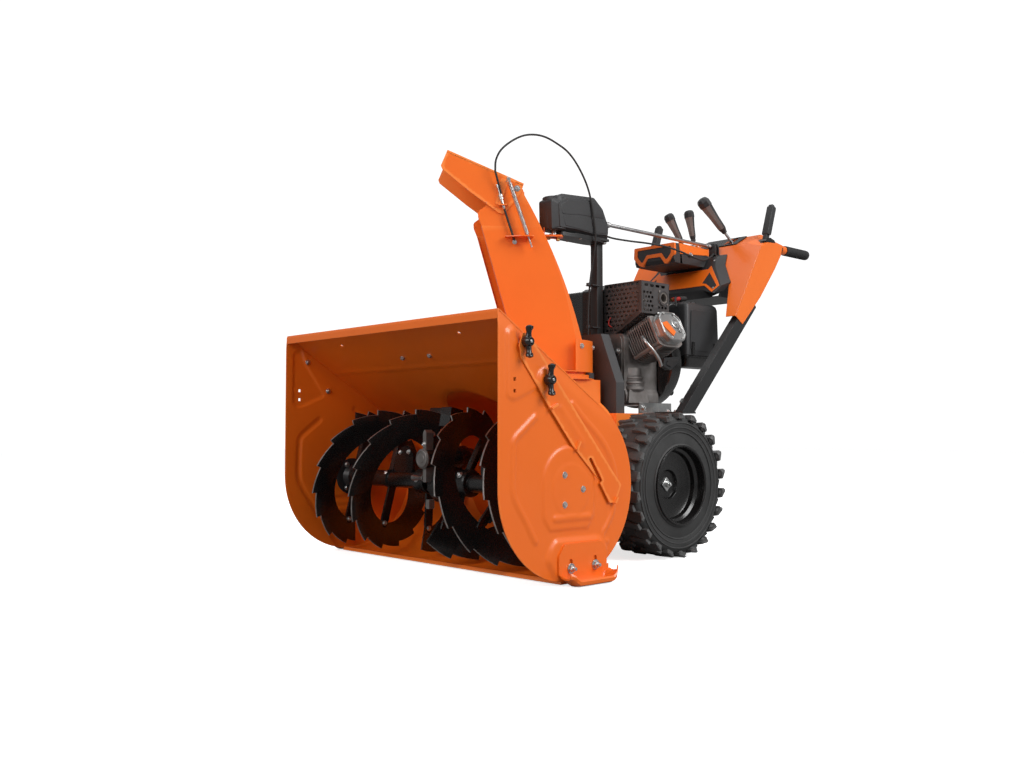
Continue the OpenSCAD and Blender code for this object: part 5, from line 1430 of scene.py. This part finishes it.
def hand_lever(name, node, body, x, turn, length, r, side_hub=False, stripe=False):
    """Thin stem with a collar and a faceted head of moulded plastic with grey faces."""
    post = Matrix.Translation((x, *LEVER_PIVOT))
    shape = Shape(post @ turn)
    shape.lathe([(0, 4.8), (length * 0.42, 4.8), (length * 0.42, 0)], (0, 0, 2), "+z", 20, 2)
    low = length * 0.4
    shape.lathe([(0, 6), (2, 8.4), (8, 8.8), (10, 7), (10, 0)], (0, 0, low - 9), (0, 0, low), 20)

    def ring(z, w, d, cut=0.42):
        return [(w, d * cut, z), (w * cut, d, z), (-w * cut, d, z), (-w, d * cut, z),
                (-w, -d * cut, z), (-w * cut, -d, z), (w * cut, -d, z), (w, -d * cut, z)]

    # Height, half width and half depth of each ring, the last two as parts of r
    levels = [(low, 0.55, 0.5), (low + 12, 0.74, 0.6), (low + 0.4 * (length - low), 0.84, 0.68),
              (length - 2.0 * r, 1.08, 0.84), (length - 1.7 * r, 1.2, 0.98), (length - 0.7 * r, 1.2, 1.0),
              (length - 0.2 * r, 0.95, 0.8), (length, 0.5, 0.4)]
    edge = 3 if stripe else 0
    faces = [[0] * 8] + [[edge, 1, edge, 0, 1, 1, 1, 0]] * 3 + [[0] * 8] * 3
    shape.rings([ring(z, w * r, d * r) for z, w, d in levels], [m for row in faces for m in row] + [0, 0])
    shape.move = post
    axis = Vector((0, 8, 0)) if side_hub else Vector((8, 0, 0))
    shape.lathe(rect(0, 9, 16, 4.3), -axis, axis, 28, 2, closed=True)
    shape.piece(name, body, [PLASTIC, GREY_PLASTIC, STEEL, ORANGE], node, bevel=0.8, angle=20)


def tip(angle, axis):
    """A turn about an axis, in degrees."""
    return Matrix.Rotation(math.radians(angle), 4, axis)


hand_lever("speed_handle", "speed_lever", "speed_control", SPEED_LEVER_X,
           tip(41, "X") @ tip(-12, "Y"), 230, 18, stripe=True)
hand_lever("deflector_handle", "deflector_lever", "deflector_control", DEFLECTOR_LEVER_X,
           tip(11, "X") @ tip(-3, "Y"), 174, 15)
hand_lever("chute_handle", "chute_lever", "chute_control", CHUTE_LEVER_X,
           tip(-14, "Y") @ tip(25, "X"), 182, 15, side_hub=True)

for side, tag in ((1, "left"), (-1, "right")):
    squeeze = Shape()
    arm = rounded([(1384, 988), (1402, 982), (1416, 1022), (1446, 1108), (1442, 1116), (1428, 1119),
                   (1400, 1036)], 5)
    squeeze.prism(arm, "x", 233, 247)
    squeeze.prism(rounded([(1390, 1012), (1412, 1008), (1446, 1106), (1426, 1114)], 5), "x", 228.2, 251.8)
    squeeze.lathe(rect(0, 11, 24, 4.3), (228, 1392, 985), "+x", 32, closed=True)
    squeeze = squeeze if side > 0 else squeeze.mirrored()
    squeeze.piece("clutch_handle_" + tag, "clutch_" + tag, [PLASTIC], "clutch_lever_" + tag, bevel=1.4)

trim = Shape()
for y, z in ((760, 300), (760, 200), (960, 300), (960, 200), (846, 425)):
    trim.bolt((165.2, y, z), (1, 0, 0), 6.5, 5)
for z in (170, 360):
    for y in (745, 980):
        trim.bolt((165.2, y, z), (1, 0, 0), 5, 4)
trim.both().piece("frame_bolts", "machine", [ZINC], bevel=0.3)


# ---- Wheels: tyre with lugs, deep-dish rim, washer and nut ----------------

HUB_Y, HUB_Z = 796, 204
CARCASS = [(0, 113), (2, 117), (10, 121), (12, 134), (7, 150), (3, 168), (4, 180), (9, 189), (16, 193.5),
           (34, 195.5), (73.5, 196.5)]


def wheel_point(x, turn, r):
    """Point at an angle round the wheel, counted from its top."""
    a = math.radians(turn)
    return Vector((x, HUB_Y + r * math.sin(a), HUB_Z + r * math.cos(a)))


def tyre_shape():
    """One tyre, outer side at +x; x runs from 187 to 352."""
    shape = Shape()
    skin = [(196 + d, r) for d, r in CARCASS]
    skin += [(539 - x, r) for x, r in skin[::-1][1:]]
    inner = [(539 - 200, 118), (330, 184), (300, 188), (239, 188), (209, 184), (200, 118)]
    shape.lathe([(x - 196, r) for x, r in skin + inner], (196, HUB_Y, HUB_Z), "+x", 120,
                closed=True)
    for r, d in ((176, 2.1), (163, 3.2), (150, 5.6)):
        for x, s in ((343 - d, 1), (196 + d, -1)):
            shape.lathe([(-1.2, r - 2), (1.3, r - 1), (1.3, r + 1), (-1.2, r + 2)],
                        (x, HUB_Y, HUB_Z), (x + s, HUB_Y, HUB_Z), 120, closed=True)

    def lug(points, low, shrink=0.88):
        """Raised block; points are (x, angle, radius of the top there) round the tread."""
        cx = sum(p[0] for p in points) / len(points)
        ct = sum(p[1] for p in points) / len(points)
        top = [(cx + (x - cx) * shrink, ct + (t - ct) * shrink, r) for x, t, r in points]
        shape.rings([[wheel_point(x, t, low) for x, t, r in points],
                     [wheel_point(x, t, r - 1.5) for x, t, r in points],
                     [wheel_point(x, t, r) for x, t, r in top]], 1)

    count = 22
    for k in range(count):
        for side, shift in ((1, 0), (-1, 0.5)):
            at = 360 * (k + shift) / count

            def x_of(u):
                return 269.5 + side * u
            # shoulder block: high on one edge, so it looks like a saw tooth from the side
            lug([(x_of(81), at - 1.2, 203.4), (x_of(77), at + 4.6, 196.4), (x_of(50), at + 5.6, 199.5),
                 (x_of(34), at + 3.4, 201), (x_of(32), at - 0.4, 203.6), (x_of(52), at - 3.2, 203.8),
                 (x_of(76), at - 3.6, 203.8)], 188)
            tooth = [(70, -3.4, 203), (70, 4.2, 197), (70, 2.6, 184), (70, -0.6, 184)]
            hang = [(82, -2.6, 201.5), (80, 2.6, 194), (75, 1.6, 186), (76, -0.6, 186)]
            shape.rings([[wheel_point(x_of(u), at + t, r) for u, t, r in ring] for ring in (tooth, hang)], 1)
            # long slanted block nearer the middle
            mid = at + 180 / count
            lug([(x_of(60), mid - 2.6, 203.4), (x_of(57), mid + 2.4, 202), (x_of(30), mid + 4.6, 202),
                 (x_of(5), mid + 4.4, 202.4), (x_of(3), mid + 0.4, 203.6), (x_of(28), mid - 0.4, 203.6)], 190)
    return shape


def rim_shape():
    """One rim: a deep dish that is turned from one outline."""
    shape = Shape()
    outline = [(348, 113), (349, 109), (345, 106), (322, 104), (316, 96), (303, 94), (300, 88), (298, 60),
               (296, 42), (288, 38), (288, 15.5), (251, 15.5), (251, 38), (292, 40.5), (293, 60), (295, 86),
               (297, 92), (236, 94), (200, 104), (192, 109), (192, 113), (200, 112), (238, 99), (300, 99),
               (316, 101), (325, 109), (342, 112.6)]
    shape.lathe([(x - 190, r) for x, r in outline], (190, HUB_Y, HUB_Z), "+x", 96, closed=True)
    return shape


def wheel_nut():
    """The square washer and the nut on the axle's end."""
    shape = Shape()
    square = [(HUB_Y, HUB_Z + 21), (HUB_Y + 21, HUB_Z), (HUB_Y, HUB_Z - 21), (HUB_Y - 21, HUB_Z)]
    shape.prism(rounded(square, 3), "x", 288.4, 292)
    shape.lathe([(0, 9), (8, 9), (9, 8), (9, 5), (14, 5), (15, 4), (15, 0)], (292, HUB_Y, HUB_Z), "+x", 32)
    return shape


for side, tag in ((1, "left"), (-1, "right")):
    for shape, name, looks, node, options in (
            (tyre_shape(), "tyre_tread_", [TYRE, LUG], "tyre_", {"angle": 30}),
            (rim_shape(), "rim_dish_", [GLOSS_BLACK], "rim_", {"angle": 30, "bevel": 0.6}),
            (wheel_nut(), "wheel_nut_", [ZINC], (), {"bevel": 0.6})):
        shape = shape if side > 0 else shape.mirrored()
        shape.piece(name + tag, "wheel_" + tag, looks, node + tag if node else (), **options)


# ---- Materials of the CAD nodes that stay ---------------------------------

for node, (look, edge) in {
        "tractor_frame": (ORANGE, 2), "engine_plate": (ZINC, 0.8), "transaxle": (BLACK, 2),
        "belt_cover": (PLASTIC, 3), "drive_belts": (RUBBER, 1), "crankshaft": (STEEL, 0.5),
        "traction_pulley": (BLACK, 0.5),
        "impeller_drum": (ORANGE, 0.8), "chute_base": (ORANGE, 0.8), "chute_retainers": (PLASTIC, 1.5),
        "muffler": (EXHAUST, 2)}.items():
    finish_cad(node, look, edge)


# ---- Camera, light and floor ----------------------------------------------

scene = bpy.context.scene
CAMERA_AT = (2061.3, -1445.1, 362.6)
TURN, PITCH = math.radians(47.2), math.radians(2.6)
lens = bpy.data.cameras.new("camera")
lens.sensor_width = 36
lens.lens = 34.63
lens.clip_end = 60
camera = bpy.data.objects.new("camera", lens)
scene.collection.objects.link(camera)
camera.location = to_row(CAMERA_AT)
camera.rotation_euler = (math.pi / 2 + PITCH, 0, TURN)
scene.camera = camera


def lamp(name, place, aim, size, power):
    """An area lamp, placed and aimed in metres."""
    light = bpy.data.lights.new(name, "AREA")
    light.shape = "RECTANGLE"
    light.size, light.size_y = size
    light.energy = power
    obj = bpy.data.objects.new(name, light)
    scene.collection.objects.link(obj)
    obj.location = place
    obj.rotation_euler = (Vector(aim) - Vector(place)).to_track_quat("-Z", "Y").to_euler()


lamp("key", (4.2, 1.0, 3.2), (0.3, 0.0, 0.5), (2.6, 2.6), 200)
lamp("front", (0.8, -4.2, 2.4), (0, 0, 0.5), (3.0, 2.0), 85)
lamp("top", (-0.4, 0.3, 4.5), (0, 0, 0.5), (3.5, 3.5), 62)
lamp("rim", (-3.6, 2.2, 2.6), (0, 0, 0.6), (2.0, 2.0), 60)

# The camera sees a white backdrop, which lights the machine only dimly
world = bpy.data.worlds.new("studio")
world.use_nodes = True
tree = world.node_tree
dim, clear = tree.nodes["Background"], tree.nodes.new("ShaderNodeBackground")
for backdrop, strength in ((dim, 0.3), (clear, 1.1)):
    backdrop.inputs["Color"].default_value = (1, 1, 1, 1)
    backdrop.inputs["Strength"].default_value = strength
choose = tree.nodes.new("ShaderNodeMixShader")
tree.links.new(tree.nodes.new("ShaderNodeLightPath").outputs["Is Camera Ray"], choose.inputs[0])
tree.links.new(dim.outputs[0], choose.inputs[1])
tree.links.new(clear.outputs[0], choose.inputs[2])
tree.links.new(choose.outputs[0], tree.nodes["World Output"].inputs["Surface"])
scene.world = world

# The camera sees a white floor with a faint glow; to other rays it is dark, so it throws little light up
tree = FLOOR.node_tree
glow = tree.nodes["Principled BSDF"]
seen = tree.nodes.new("ShaderNodeLightPath").outputs["Is Camera Ray"]
level = tree.nodes.new("ShaderNodeMath")
level.operation = "MULTIPLY"
level.inputs[1].default_value = 0.72
tree.links.new(seen, level.inputs[0])
tree.links.new(level.outputs[0], glow.inputs["Emission Strength"])
glow.inputs["Emission Color"].default_value = (1, 1, 1, 1)
bounce = tree.nodes.new("ShaderNodeMix")
bounce.data_type = "RGBA"
bounce.inputs["A"].default_value = (0.3, 0.3, 0.3, 1)
bounce.inputs["B"].default_value = (0.9, 0.9, 0.9, 1)
tree.links.new(seen, bounce.inputs["Factor"])
tree.links.new(bounce.outputs["Result"], glow.inputs["Base Color"])
scene.view_settings.view_transform = "Standard"

ground = Shape()
ground.prism(rect(-14000, -14000, 14000, 16000), "z", -20, -0.6)
floor = ground.piece("floor", None, [FLOOR])
